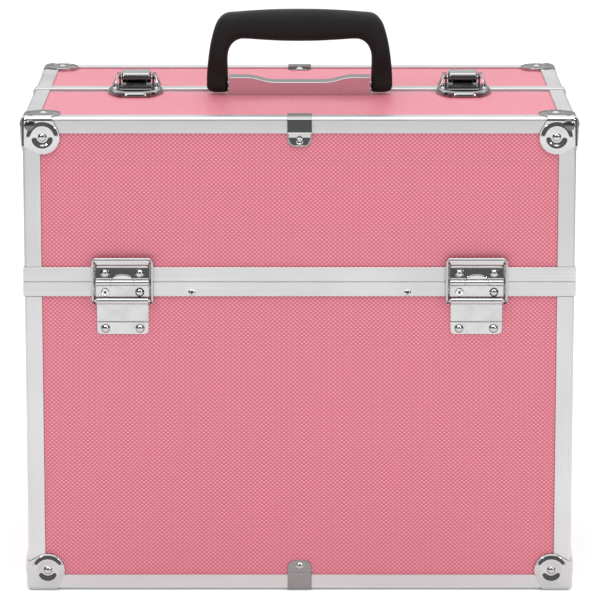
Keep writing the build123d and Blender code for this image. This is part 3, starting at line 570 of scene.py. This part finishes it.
# How wide its metal is at the sides and across the top.
YOKE_SIDE, YOKE_ACROSS = 2.5, 5.0
# How much wider its metal is halfway round a corner.
YOKE_SWELL = 0.4
# Its legs narrow by this much over this length, down to their rounded ends.
YOKE_NARROW, YOKE_END = 1.1, 1.9
# Its legs' straight parts start this far above the barrel's middle and end this far below the corners.
YOKE_START, YOKE_STOP = 0.5, 2.2
# Its section: how far from its outer edge and how proud, then the same measured from its inner edge.
YOKE_OUTER = [(0.25, -1.3), (0.0, -0.9), (0.0, 0.9), (0.15, 1.4), (0.5, 1.7), (0.85, 1.6), (1.05, 1.25),
              (1.15, 0.75), (1.4, 0.7), (1.6, 1.2), (1.75, 1.55)]
YOKE_INNER = [(0.45, 1.0), (0.1, 0.75), (0.0, 0.3), (0.0, -0.9), (0.25, -1.3)]
# The end of the pin that it turns on, as (radius, place along the pin), and how far inside its edge that is.
YOKE_PIN = [(0, -3.4), (1.05, -3.4), (1.05, 0.0), (0.7, 0.35), (0, 0.4)]
YOKE_PIN_INSIDE = 0.6


def yoke_section(at, inward, width, side):
    """The section's ring of points where the loop's outer edge passes the point at, as (x, z) in mm."""
    offsets = YOKE_OUTER + [(width - u, w) for u, w in YOKE_INNER]
    ring = []
    for u, w in offsets:
        x, z = at[0] + inward[0] * u, at[1] + inward[1] * u
        ring.append((x, side * (BARREL_Y / MM + w), z))
    return ring


def make_yoke(half, side):
    """The stay loops of one side's hinges, each with the ends of its pin."""
    loops = []
    low = (BARREL_Z - SEAM_Z) / MM
    for hinge in (-HINGE_X, HINGE_X):
        right = []
        for drop in (YOKE_END, 1.6, 1.0, 0.3):
            narrow = YOKE_NARROW * (drop / YOKE_END) ** 2
            right.append(((YOKE_HALF - narrow, low - drop), (-1, 0), YOKE_SIDE - 0.9 * narrow))
        for share in (0.0, 0.5, 1.0):
            height = low + YOKE_START + (YOKE_TOP - YOKE_TURN - YOKE_STOP - low - YOKE_START) * share
            right.append(((YOKE_HALF, height), (-1, 0), YOKE_SIDE))
        for k in range(9):
            share = k / 8
            turn = share * pi / 2
            at = (YOKE_HALF - YOKE_TURN * (1 - cos(turn)), YOKE_TOP - YOKE_TURN * (1 - sin(turn)))
            width = YOKE_SIDE + (YOKE_ACROSS - YOKE_SIDE) * share
            right.append((at, (-cos(turn), -sin(turn)), width + YOKE_SWELL * sin(2 * turn)))
        left = [((-at[0], at[1]), (-way[0], way[1]), width) for at, way, width in reversed(right)]
        rings = []
        for at, way, width in right + left:
            ring = yoke_section(at, way, width, side)
            rings.append([Vector((hinge + x * MM, y * MM, SEAM_Z + z * MM)) for x, y, z in ring])
        loops.append(ring_mesh(rings))
        for way in (-1, 1):
            end = Vector((hinge + way * (YOKE_HALF - YOKE_PIN_INSIDE) * MM, side * BARREL_Y, BARREL_Z))
            loops.append(turned(YOKE_PIN, facing_place(end, (way, 0, 0)), around=24))
    name = f"{half}_hinge_yokes"
    standing_for(finished(name + "_swept", joined(loops), [CHROME], flat=50.0), name)


# The lid leaf's outer face, its half width, its top and foot, the radius of its corners, and the height over
# which its top rounds off.
LEAF_Y = 120.6
LEAF_HALF, LEAF_TOP, LEAF_FOOT, LEAF_CORNER, LEAF_OVER = 18.0, 11.4, 2.2, 2.0, 1.9
# How proud the cover's front stands at its foot, how much less at its top, and how far its back is sunk.
COVER_PROUD, COVER_LEAN, COVER_SUNK = 1.27, 1.1, 0.4
# The half-round land at the foot of each cover: its half width and height, and its rings as (size, lift).
LAND_HALF, LAND_HIGH, LAND_STEPS = 7.2, 3.2, 24
LAND_RINGS = [(1.0, -0.9), (0.985, 0.05), (0.95, 0.16), (0.9, 0.2), (0.55, 0.14), (0.2, 0.06), (0.0, 0.02)]


def plate_rings(rows, half_width, side, hinge, corner, edge=0.3):
    """A pressed plate from rows of (height from the seam, back, front), its corners rounded at the last row."""
    rings = []
    last = rows[-1][0]
    cut = edge * 0.3
    for height, back, front in rows:
        gap = abs(last - height)
        inset = corner - sqrt(max(0.0, corner**2 - max(0.0, corner - gap) ** 2)) if gap < corner else 0.0
        x = half_width - inset
        ring = [(-x, back), (x, back), (x, front - edge), (x - cut, front - cut), (x - edge, front),
                (-x + edge, front), (-x + cut, front - cut), (-x, front - edge)]
        rings.append([Vector((hinge + a * MM, side * b * MM, SEAM_Z + height * MM)) for a, b in ring])
    return rings


def leaf_cover(hinge, side):
    """The pressed plate over one lid leaf."""
    face = LEAF_Y + 1.0
    back = face - COVER_SUNK
    rows = [(LEAF_FOOT, back, face + 1.0), (LEAF_FOOT + 0.25, back, face + 1.25)]
    for share in (0.0, 0.25, 0.5, 0.75, 1.0):
        height = LEAF_FOOT + 0.5 + (LEAF_TOP - LEAF_OVER - LEAF_FOOT - 0.5) * share
        rows.append((height, back, face + COVER_PROUD - COVER_LEAN * share))
    for drop in (1.5, 1.0, 0.6, 0.3, 0.1, 0.0):
        rows.append((LEAF_TOP - drop, back, face + 0.16 - 0.1 * (LEAF_OVER - drop) / LEAF_OVER))
    return ring_mesh(plate_rings(rows, LEAF_HALF, side, hinge, LEAF_CORNER))


def leaf_land(hinge, side):
    """The half-round land at the foot of one cover."""
    bm = bmesh.new()
    rows = []
    for size, lift in LAND_RINGS:
        row = []
        for j in range(LAND_STEPS + 1):
            turn = pi * j / LAND_STEPS
            x, z = LAND_HALF * size * cos(turn), LAND_HIGH * size * sin(turn)
            y = LEAF_Y + 1.0 + COVER_PROUD - 0.02 * z + lift
            row.append(bm.verts.new((hinge + x * MM, side * y * MM, SEAM_Z + (LEAF_FOOT + 0.3 + z) * MM)))
        rows.append(row)
    for a, b in zip(rows, rows[1:]):
        for j in range(LAND_STEPS):
            bm.faces.new((a[j], a[j + 1], b[j + 1], b[j]))
    bmesh.ops.remove_doubles(bm, verts=bm.verts, dist=WELD)
    bmesh.ops.holes_fill(bm, edges=[e for e in bm.edges if e.is_boundary], sides=0)
    bmesh.ops.recalc_face_normals(bm, faces=bm.faces)
    return bm


def make_lid_leaf_covers(half, side):
    """The pressed face of each lid leaf, which leans out towards the knuckles to a half-round land."""
    parts = [make(hinge, side) for hinge in (-HINGE_X, HINGE_X) for make in (leaf_cover, leaf_land)]
    name = f"{half}_hinge_lid_leaves"
    riding(finished(name + "_faces", joined(parts), [CHROME], flat=20.0), name)


# The crease across each stay plate: how far below the seam, its half width and its depth.
CREASE_DROP, CREASE_HALF, CREASE_DEPTH = 27.4 * MM, 0.45 * MM, 0.5 * MM
# Everything further out than this in y is on a stay plate's outer face.
STAY_FACE = 119.4 * MM


def make_stay_plates():
    """The plates under the hinges, with a pressed crease across each."""
    bm = cad_bmesh("stay_plates")
    crease = SEAM_Z - CREASE_DROP
    for shift in (-CREASE_HALF, 0.0, CREASE_HALF):
        geom = list(bm.verts) + list(bm.edges) + list(bm.faces)
        bmesh.ops.bisect_plane(bm, geom=geom, dist=WELD, plane_co=(0, 0, crease + shift), plane_no=(0, 0, 1))
    for vert in bm.verts:
        if abs(vert.co.z - crease) < 0.1 * MM and abs(vert.co.y) > STAY_FACE:
            vert.co.y -= CREASE_DEPTH * (1 if vert.co.y > 0 else -1)
    standing_for(finished("stay_plates_creased", bm, [BRIGHT], 0.16 * MM), "stay_plates")


# The hinge rivets' domes, the hollow rivet's ring and a painted-shade disc in its hole, as (radius, height over
# the head's foot) in mm.
RIVET_DOME = [(0, 2.15), (0.55, 2.11), (1.15, 1.95), (1.75, 1.67), (2.35, 1.2), (2.85, 0.6), (3.12, 0.05),
              (3.15, -0.2), (0, -0.2)]
POP_RING = [(2.8, -0.2), (2.75, 0.5), (2.5, 1.2), (2.1, 1.5), (1.6, 1.55), (1.2, 1.45), (1.0, 1.0), (1.0, -0.2)]
POP_HOLE_SHADE = [(0, -0.2), (1.0, -0.2), (1.0, 0.6), (0, 0.6)]
# Their places on the lid leaf, on the base leaf and at the foot of the base leaf's plate, as (x, z, y).
LID_SPOT, LEAF_SPOT, FOOT_SPOT = (11.7, 6.3, LEAF_Y + 1.6), (11.6, -6.7, LEAF_Y + 1.0), (11.6, -32.0, 119.8)


def hinge_domes(half, side):
    """Smooth domes over the hinge rivets' heads, one of them a hollow rivet's ring on each base leaf."""
    lid, base, rings, hole_shades = [], [], [], []
    for hinge in (-HINGE_X, HINGE_X):
        for way in (-1, 1):
            spots = [(LID_SPOT, lid, RIVET_DOME), (FOOT_SPOT, base, RIVET_DOME)]
            if way > 0:
                spots.append((LEAF_SPOT, base, RIVET_DOME))
            else:
                spots += [(LEAF_SPOT, rings, POP_RING), (LEAF_SPOT, hole_shades, POP_HOLE_SHADE)]
            for (x, z, y), group, profile in spots:
                point = Vector((hinge + way * x * MM, side * y * MM, SEAM_Z + z * MM))
                place = facing_place(point, (0, side, 0))
                group.append(turned(profile, place, closed=profile is POP_RING))
    riding(finished(f"{half}_lid_hinge_domes", joined(lid), [RIVET], flat=60.0), f"{half}_lid_rivets")
    riding(finished(f"base_{half}_hinge_domes", joined(base), [RIVET], flat=60.0), "base_rivets")
    riding(finished(f"base_{half}_pop_rings", joined(rings), [POP], flat=60.0), "base_rivets")
    # The disc in each hollow rivet's hole is near-black: painted shade.
    riding(finished(f"base_{half}_pop_hole_shades", joined(hole_shades), [SHADED], flat=60.0), "base_rivets")


LATCH_X = 114.0 * MM
# The top of each latch's base plate.
LATCH_Z = PANEL_TOP + 3.2 * MM
# The lever's outer and inner lines as (y, height over the latch's base plate) in mm, from its lip to its tail.
LEVER_OUTER = [(2.0, 4.5), (1.25, 4.9), (0.95, 5.8), (1.2, 7.4), (2.1, 9.2), (3.8, 10.5), (6.3, 11.1),
               (9.5, 11.0), (13.0, 9.6), (15.8, 7.4), (17.6, 4.5)]
LEVER_INNER = [(2.5, 4.9), (2.2, 5.3), (2.0, 6.0), (2.3, 7.2), (3.1, 8.6), (4.5, 9.6), (6.6, 10.0),
               (9.3, 9.9), (12.4, 8.7), (14.9, 6.8), (16.6, 4.5)]
LEVER_HALF, LEVER_ROUND = 10.0, 1.6
# How fast, and how far at most, the outer line is drawn towards the inner one over the rounded ends.
LEVER_ROLL, LEVER_ROLL_MOST = 0.55, 0.62
# The lever's stations across one half, from its middle to its end.
LEVER_STATIONS = (0.0, 6.0, 8.4, 9.1, 9.55, 9.85, LEVER_HALF)
# The place of the lever's pin as (y, height), and the barrel round it as (radius, place along the pin).
LATCH_PIN = (14.0, 4.5)
LATCH_BARREL = [(0, -10.0), (3.2, -10.0), (3.6, -9.6), (3.6, 9.6), (3.2, 10.0), (0, 10.0)]


def make_latch_lever(name, middle):
    """The arched lever with rolled shoulders and its pin's barrel."""
    outer, inner = smooth_line(LEVER_OUTER, 4), smooth_line(LEVER_INNER, 4)
    rings = []
    for x in [-x for x in LEVER_STATIONS[:0:-1]] + list(LEVER_STATIONS):
        gap = LEVER_HALF - abs(x)
        inset = LEVER_ROUND - sqrt(LEVER_ROUND**2 - max(0.0, LEVER_ROUND - gap) ** 2)
        ring = []
        for (y, z), (v, w) in zip(outer, inner):
            share = min(LEVER_ROLL_MOST, LEVER_ROLL * inset)
            ring.append((y + (v - y) * share, z + (w - z) * share))
        ring += inner[::-1]
        rings.append([Vector((middle + x * MM, y * MM, LATCH_Z + z * MM)) for y, z in ring])
    barrel_at = Vector((middle, LATCH_PIN[0] * MM, LATCH_Z + LATCH_PIN[1] * MM))
    barrel = turned(LATCH_BARREL, facing_place(barrel_at, (1, 0, 0)), around=32)
    obj = finished(name + "_pressed", joined([ring_mesh(rings), barrel]), [NICKEL], flat=50.0)
    standing_for(obj, name)


def swept(path, section, up):
    """The rings of a closed section, (offset to the left, height) in mm, along a 2-D path at the height up."""
    rings = []
    for k, point in enumerate(path):
        a, b = path[max(0, k - 1)], path[min(len(path) - 1, k + 1)]
        along = Vector((b[0] - a[0], b[1] - a[1], 0)).normalized()
        left = Vector((-along.y, along.x, 0))
        spot = Vector((point[0], point[1], 0))
        rings.append([(spot + left * u) * MM + Vector((0, 0, up + v * MM)) for u, v in section])
    return rings


# The keeper's rim: its path round the front, and its section as (offset outwards, height over the panel) in mm.
RIM_PATH = [(-17.2, -1.4), (-17.4, -7), (-16.2, -13), (-12.8, -22), (-7, -27.0), (0, -28.0), (7, -27.0),
            (12.8, -22), (16.2, -13), (17.4, -7), (17.2, -1.4)]
RIM_SECTION = [(1.3, -0.1), (1.75, 0.9), (1.6, 2.0), (1.0, 3.1), (0.2, 3.9), (-0.9, 4.1), (-2.0, 3.7),
               (-2.6, 2.6), (-2.6, -0.1)]
# The dark pan of painted shade inside it: its outline, and the heights of its underside and its face over the
# panel.
PAN_EDGE = [(-13.8, -1.4), (-13.8, -9), (-10.5, -22), (-6, -24.5), (6, -24.5), (10.5, -22), (13.8, -9),
            (13.8, -1.4)]
PAN_LOW, PAN_HIGH = 0.05, 1.2
# A cheek's half thickness and the part of it that its edges keep, its height, and how far its foot is sunk.
CHEEK_HALF, CHEEK_EDGE, CHEEK_HIGH, CHEEK_SUNK = 0.75, 0.3, 8.3, 0.1
# Where it is across, at its front and at its back, and how far each of them leans in by its top.
CHEEK_ACROSS, CHEEK_FRONT, CHEEK_BACK = 16.3, 1.6, 18.5
ACROSS_LEAN, FRONT_LEAN, BACK_LEAN = 3.3, 4.0, 3.4
# How far the front's upper corner is rounded back.
CHEEK_ROUND = 1.6


def latch_cheek(middle, way):
    """The sloping cheek at one side of a latch's base."""
    rings = []
    cut = CHEEK_EDGE
    for share in (0.0, 0.06, 0.25, 0.5, 0.75, 0.9, 0.97, 1.0):
        x = CHEEK_ACROSS - ACROSS_LEAN * share**0.8
        front = CHEEK_FRONT + FRONT_LEAN * share + CHEEK_ROUND * share**8
        back = CHEEK_BACK - BACK_LEAN * share
        half = CHEEK_HALF if share < 1 else cut
        ring = [(x - half, front + cut), (x - cut, front), (x + cut, front), (x + half, front + cut),
                (x + half, back - cut), (x + cut, back), (x - cut, back), (x - half, back - cut)]
        height = LATCH_Z + (CHEEK_HIGH * share - CHEEK_SUNK) * MM
        rings.append([Vector((middle + way * a * MM, b * MM, height)) for a, b in ring])
    return ring_mesh(rings)


def make_latch_plates():
    """Sloping cheeks beside each lever, each keeper's rolled front rim, and a dark pan inside it: painted
    shade.
    """
    cheeks, rims, shade_pans = [], [], []
    rim = swept(smooth_line(RIM_PATH, 5), [(-u, v) for u, v in RIM_SECTION], PANEL_TOP)
    for middle in (-LATCH_X, LATCH_X):
        cheeks += [latch_cheek(middle, way) for way in (-1, 1)]
        rims.append(ring_mesh([[p + Vector((middle, 0, 0)) for p in ring] for ring in rim]))
        pan = [[Vector((middle + x * MM, y * MM, PANEL_TOP + height * MM)) for x, y in PAN_EDGE]
               for height in (PAN_LOW, PAN_HIGH)]
        shade_pans.append(ring_mesh(pan))
    riding(finished("latch_bases_cheeks", joined(cheeks), [NICKEL], flat=50.0), "latch_bases")
    riding(finished("latch_keepers_rims", joined(rims), [NICKEL], flat=50.0), "latch_keepers")
    # The pans are a near-black sheet standing for the shade in each keeper's hollow: painted shade.
    riding(finished("latch_keepers_shade_pans", joined(shade_pans), [SHADED], flat=50.0), "latch_keepers")


# The y of the case's front and rear faces, in mm.
CASE_FACE = 120.0
# Each top clip's pressed face as (distance down from the top edge, how proud of the case) in mm.
CLIP_FACE = [(1.9, 0.85), (2.1, 1.05), (4.0, 1.28), (7.0, 1.66), (10.0, 2.04), (11.2, 2.19), (11.6, 2.12),
             (12.0, 1.9), (13.0, 1.25), (14.0, 0.65), (14.4, 0.55), (15.2, 0.64), (17.0, 0.87), (18.6, 1.08),
             (19.6, 1.2), (20.0, 1.0)]
# Its half width above and below the fold, where the fold is, and the tab's foot and the radius of its corners.
CLIP_HALF, TAB_HALF, CLIP_FOLD, TAB_FOOT, TAB_CORNER = 8.2, 7.2, 12.0, 20.2, 5.0
CLIP_RIVET = [(0, -0.6), (2.6, -0.6), (2.6, 0.3), (2.3, 0.9), (1.8, 1.1), (1.3, 0.8), (1.0, 0.2), (0, 0.1)]
CLIP_RIVET_DOWN, CLIP_RIVET_PROUD = 16.8, 0.75
# How much of the face's edges is rounded, how far in from the corner the round's middle is, and how far the
# face's back is sunk into the case.
CLIP_EDGE, CLIP_CUT, CLIP_SUNK = 0.25, 0.08, 0.2


def make_clip_face(half, side):
    """The pressed face of a lid's clip: it leans out, folds back in and leans out again at the tab."""
    name = f"{half}_lid_edge_clip"
    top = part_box(name)[1].z
    rings = []
    for down, proud in CLIP_FACE:
        x = CLIP_HALF if down < CLIP_FOLD else TAB_HALF
        gap = TAB_FOOT - down
        if gap < TAB_CORNER:
            x -= TAB_CORNER - sqrt(max(0.0, TAB_CORNER**2 - (TAB_CORNER - gap) ** 2))
        ring = [(-x, -CLIP_SUNK), (x, -CLIP_SUNK), (x, proud - CLIP_EDGE), (x - CLIP_CUT, proud - CLIP_CUT),
                (x - CLIP_EDGE, proud), (-x + CLIP_EDGE, proud), (-x + CLIP_CUT, proud - CLIP_CUT),
                (-x, proud - CLIP_EDGE)]
        rings.append([Vector((a * MM, side * (CASE_FACE + b) * MM, top - down * MM)) for a, b in ring])
    riding(finished(name + "_face", ring_mesh(rings), [CHROME], flat=20.0), name)
    spot = Vector((0, side * (CASE_FACE + CLIP_RIVET_PROUD) * MM, top - CLIP_RIVET_DOWN * MM))
    head = turned(CLIP_RIVET, facing_place(spot, (0, side, 0)))
    riding(finished(f"{half}_lid_clip_rivet", head, [RIVET], flat=50.0), f"{half}_lid_rivets")


def make_corner_balls(node, y_side):
    """The round swelling at the tip of each upper ball corner."""
    parts = []
    for side in (-1, 1):
        at = Vector((side * (CORNER_X - TIP_INSIDE), y_side * (CORNER_Y - TIP_INSIDE), CORNER_TOP - TIP_INSIDE))
        bm = bmesh.new()
        place = Matrix.Translation(at)
        bmesh.ops.create_uvsphere(bm, u_segments=48, v_segments=32, radius=TIP_RADIUS, matrix=place)
        parts.append(bm)
    # The balls take the darker nickel instead of the corners' chrome: a painted dark reflection.
    riding(finished(f"{node}_balls", joined(parts), [SHADE_AND_REFLECTION_NICKEL], flat=60.0), node)


# ---------------------------------------------------------------- dressing the CAD

for name, plane in (("base_front_panel", "xz"), ("base_back_panel", "xz"), ("base_side_panels", "yz"),
                    ("base_floor_panel", "xy")):
    dress(name, PINK[plane])
for half in HALVES:
    for name, plane in (("face_panel", "xz"), ("top_panel", "xy"), ("side_panels", "yz")):
        dress(f"{half}_lid_{name}", PINK[plane])
    dress(f"{half}_lid_rivets", RIVET)
    dress(f"{half}_arm_pins", ZINC)
    refine(f"{half}_lid_lining", [LINING], 0.3)
    for name, round_edge in (("edge", 0.28), ("rim", 0.28), ("closing", 0.6)):
        refine(f"{half}_lid_{name}_profiles", ALUMINIUM, round_edge, by_run=True)
    refine(f"{half}_lid_ball_corners", [CHROME], 0.25)
    refine(f"{half}_lid_edge_clip", [NICKEL], 0.25)
    refine(f"{half}_hinge_lid_leaves", [CHROME], 0.22)
    refine(f"{half}_tray_arms", [ZINC], 0.25)
    for level in ("lower", "upper"):
        refine(f"{half}_{level}_tray", [TRAY], 0.5)
        refine(f"{half}_{level}_tray_dividers", [TRAY], 0.3)
for name in ("base_rim_profiles", "base_edge_profiles"):
    refine(name, ALUMINIUM, 0.28, by_run=True)
refine("base_lining", [LINING], 0.3)
refine("bottom_ball_corners", [CHROME], 0.25)
refine("bottom_edge_clips", [NICKEL], 0.25)
refine("hinge_base_leaves", [BRIGHT], 0.22)
make_stay_plates()
refine("arm_brackets", [ZINC], 0.25)
refine("handle_bracket", [POLISHED], 0.45, segments=3)
# The latch bases and keepers take the darker nickel so that the latch's hollow reads dark: painted shade.
refine("latch_keepers", [SHADE_AND_REFLECTION_NICKEL], 0.22)
refine("latch_bases", [SHADE_AND_REFLECTION_NICKEL], 0.22)
# The hooks take the near-black plate so that the latch's opening reads dark: painted shade.
for side in ("left", "right"):
    refine(f"latch_hook_{side}", [SHADED], 0.25)
for name in ("base_rivets", "hinge_pins", "latch_pins", "handle_pins"):
    dress(name, RIVET)
make_grip()
for half, side in zip(HALVES, (-1, 1)):
    make_yoke(half, side)
    make_lid_leaf_covers(half, side)
    hinge_domes(half, side)
    corner_relief(f"{half}_lid_ball_corners", f"{half}_lid_rivets", (side,), True)
    make_corner_balls(f"{half}_lid_ball_corners", side)
    make_clip_face(half, side)
corner_relief("bottom_ball_corners", "base_rivets", (-1, 1), False)
make_latch_lever("latch_lever_left", -LATCH_X)
make_latch_lever("latch_lever_right", LATCH_X)
make_latch_plates()

# ---------------------------------------------------------------- stage, light and camera

CAMERA_AT = (0.0003, -2.6405, 0.7338)
CAMERA_DOWN = 0.19206
LENS = 229.75
SHIFT_UP = -0.1
SENSOR = 36.0

camera = bpy.data.objects.new("camera", bpy.data.cameras.new("camera"))
bpy.context.scene.collection.objects.link(camera)
camera.location = CAMERA_AT
camera.rotation_euler = (pi / 2 - CAMERA_DOWN, 0, 0)
camera.data.lens = LENS
camera.data.sensor_width = SENSOR
camera.data.shift_y = SHIFT_UP
camera.data.dof.use_dof = False
bpy.context.scene.camera = camera
bpy.context.scene.view_settings.view_transform = "Standard"


# The pale floor is a strip, so that metal that faces the sides reflects the darker studio beyond it.
FLOOR = ((-1.6, -3.2), (1.6, -3.2), (1.6, 5.0), (-1.6, 5.0))


def make_floor():
    bm = bmesh.new()
    bm.faces.new([bm.verts.new((x, y, 0.0)) for x, y in FLOOR])
    mesh = bpy.data.meshes.new("floor")
    bm.to_mesh(mesh)
    bm.free()
    look = Look("floor_pale", Roughness=0.9, Specular_IOR_Level=0.1, Emission_Strength=0.2)
    look.bsdf.inputs["Emission Color"].default_value = rgb(1, 1, 1)
    cloud = look.noise(look.place(), scale=3.0, detail=2.0)
    look.wire("Base Color", look.mixed(cloud, rgb(0.86, 0.86, 0.86), rgb(0.88, 0.88, 0.88)))
    mesh.materials.append(look.material)
    floor = bpy.data.objects.new("floor", mesh)
    bpy.context.scene.collection.objects.link(floor)


# Where the lamps point.
LIT_POINT = (0, 0, 0.2)


def area_light(name, at, target, size, watts):
    data = bpy.data.lights.new(name, "AREA")
    data.shape = "RECTANGLE"
    data.size, data.size_y = size
    data.energy = watts
    lamp = bpy.data.objects.new(name, data)
    bpy.context.scene.collection.objects.link(lamp)
    lamp.location = at
    lamp.rotation_euler = (Vector(target) - Vector(at)).to_track_quat("-Z", "Y").to_euler()


# The dome's strength, its tones, and the spans of direction, y for the rear and z for the others, that they
# blend over.
DOME = 1.66
DARK_FRONT, GREY_BACK, WHITE_BACK, WHITE_TOP = 0.1, 0.25, 0.98, 1.0
REAR_SPAN, BACK_SPAN, TOP_SPAN = (0.0, 0.6), (0.24, 0.40), (0.74, 0.92)


def blend(tree, value, span, low, high):
    """A smooth step from low to high as value goes over span."""
    inputs = {"Value": value, 1: span[0], 2: span[1], 3: low, 4: high}
    return add_node(tree, "ShaderNodeMapRange", inputs, interpolation_type="SMOOTHSTEP").outputs[0]


def make_world():
    """The studio that the metal reflects: white overhead and high behind, grey low behind, and dark elsewhere.

    The camera itself sees plain white.
    """
    world = bpy.data.worlds.new("studio")
    bpy.context.scene.world = world
    world.use_nodes = True
    tree = world.node_tree
    tree.nodes.clear()

    where = add_node(tree, "ShaderNodeTexCoord").outputs["Generated"]
    axes = add_node(tree, "ShaderNodeSeparateXYZ", {0: where}).outputs
    rear = blend(tree, axes[1], REAR_SPAN, 0.0, 1.0)
    back = blend(tree, axes[2], BACK_SPAN, GREY_BACK, WHITE_BACK)
    around = add_node(tree, "ShaderNodeMix", {0: rear, 2: DARK_FRONT, 3: back}, data_type="FLOAT").outputs[0]
    overhead = blend(tree, axes[2], TOP_SPAN, 0.0, 1.0)
    tone = add_node(tree, "ShaderNodeMix", {0: overhead, 2: around, 3: WHITE_TOP}, data_type="FLOAT").outputs[0]
    studio = add_node(tree, "ShaderNodeBackground", {0: tone, 1: DOME}).outputs[0]
    plain = add_node(tree, "ShaderNodeBackground", {0: (1, 1, 1, 1), 1: 1.0}).outputs[0]
    seen = add_node(tree, "ShaderNodeLightPath").outputs["Is Camera Ray"]
    mix = add_node(tree, "ShaderNodeMixShader", {0: seen, 1: studio, 2: plain}).outputs[0]
    add_node(tree, "ShaderNodeOutputWorld", {0: mix})


make_floor()
make_world()
area_light("left_box", (-1.5, -2.0, 1.9), LIT_POINT, (0.35, 0.35), 12.0)
area_light("right_box", (1.9, -1.8, 1.5), LIT_POINT, (0.35, 0.35), 12.0)
area_light("key_box", (0.0, -1.3, 2.5), LIT_POINT, (3.0, 2.0), 35.5)
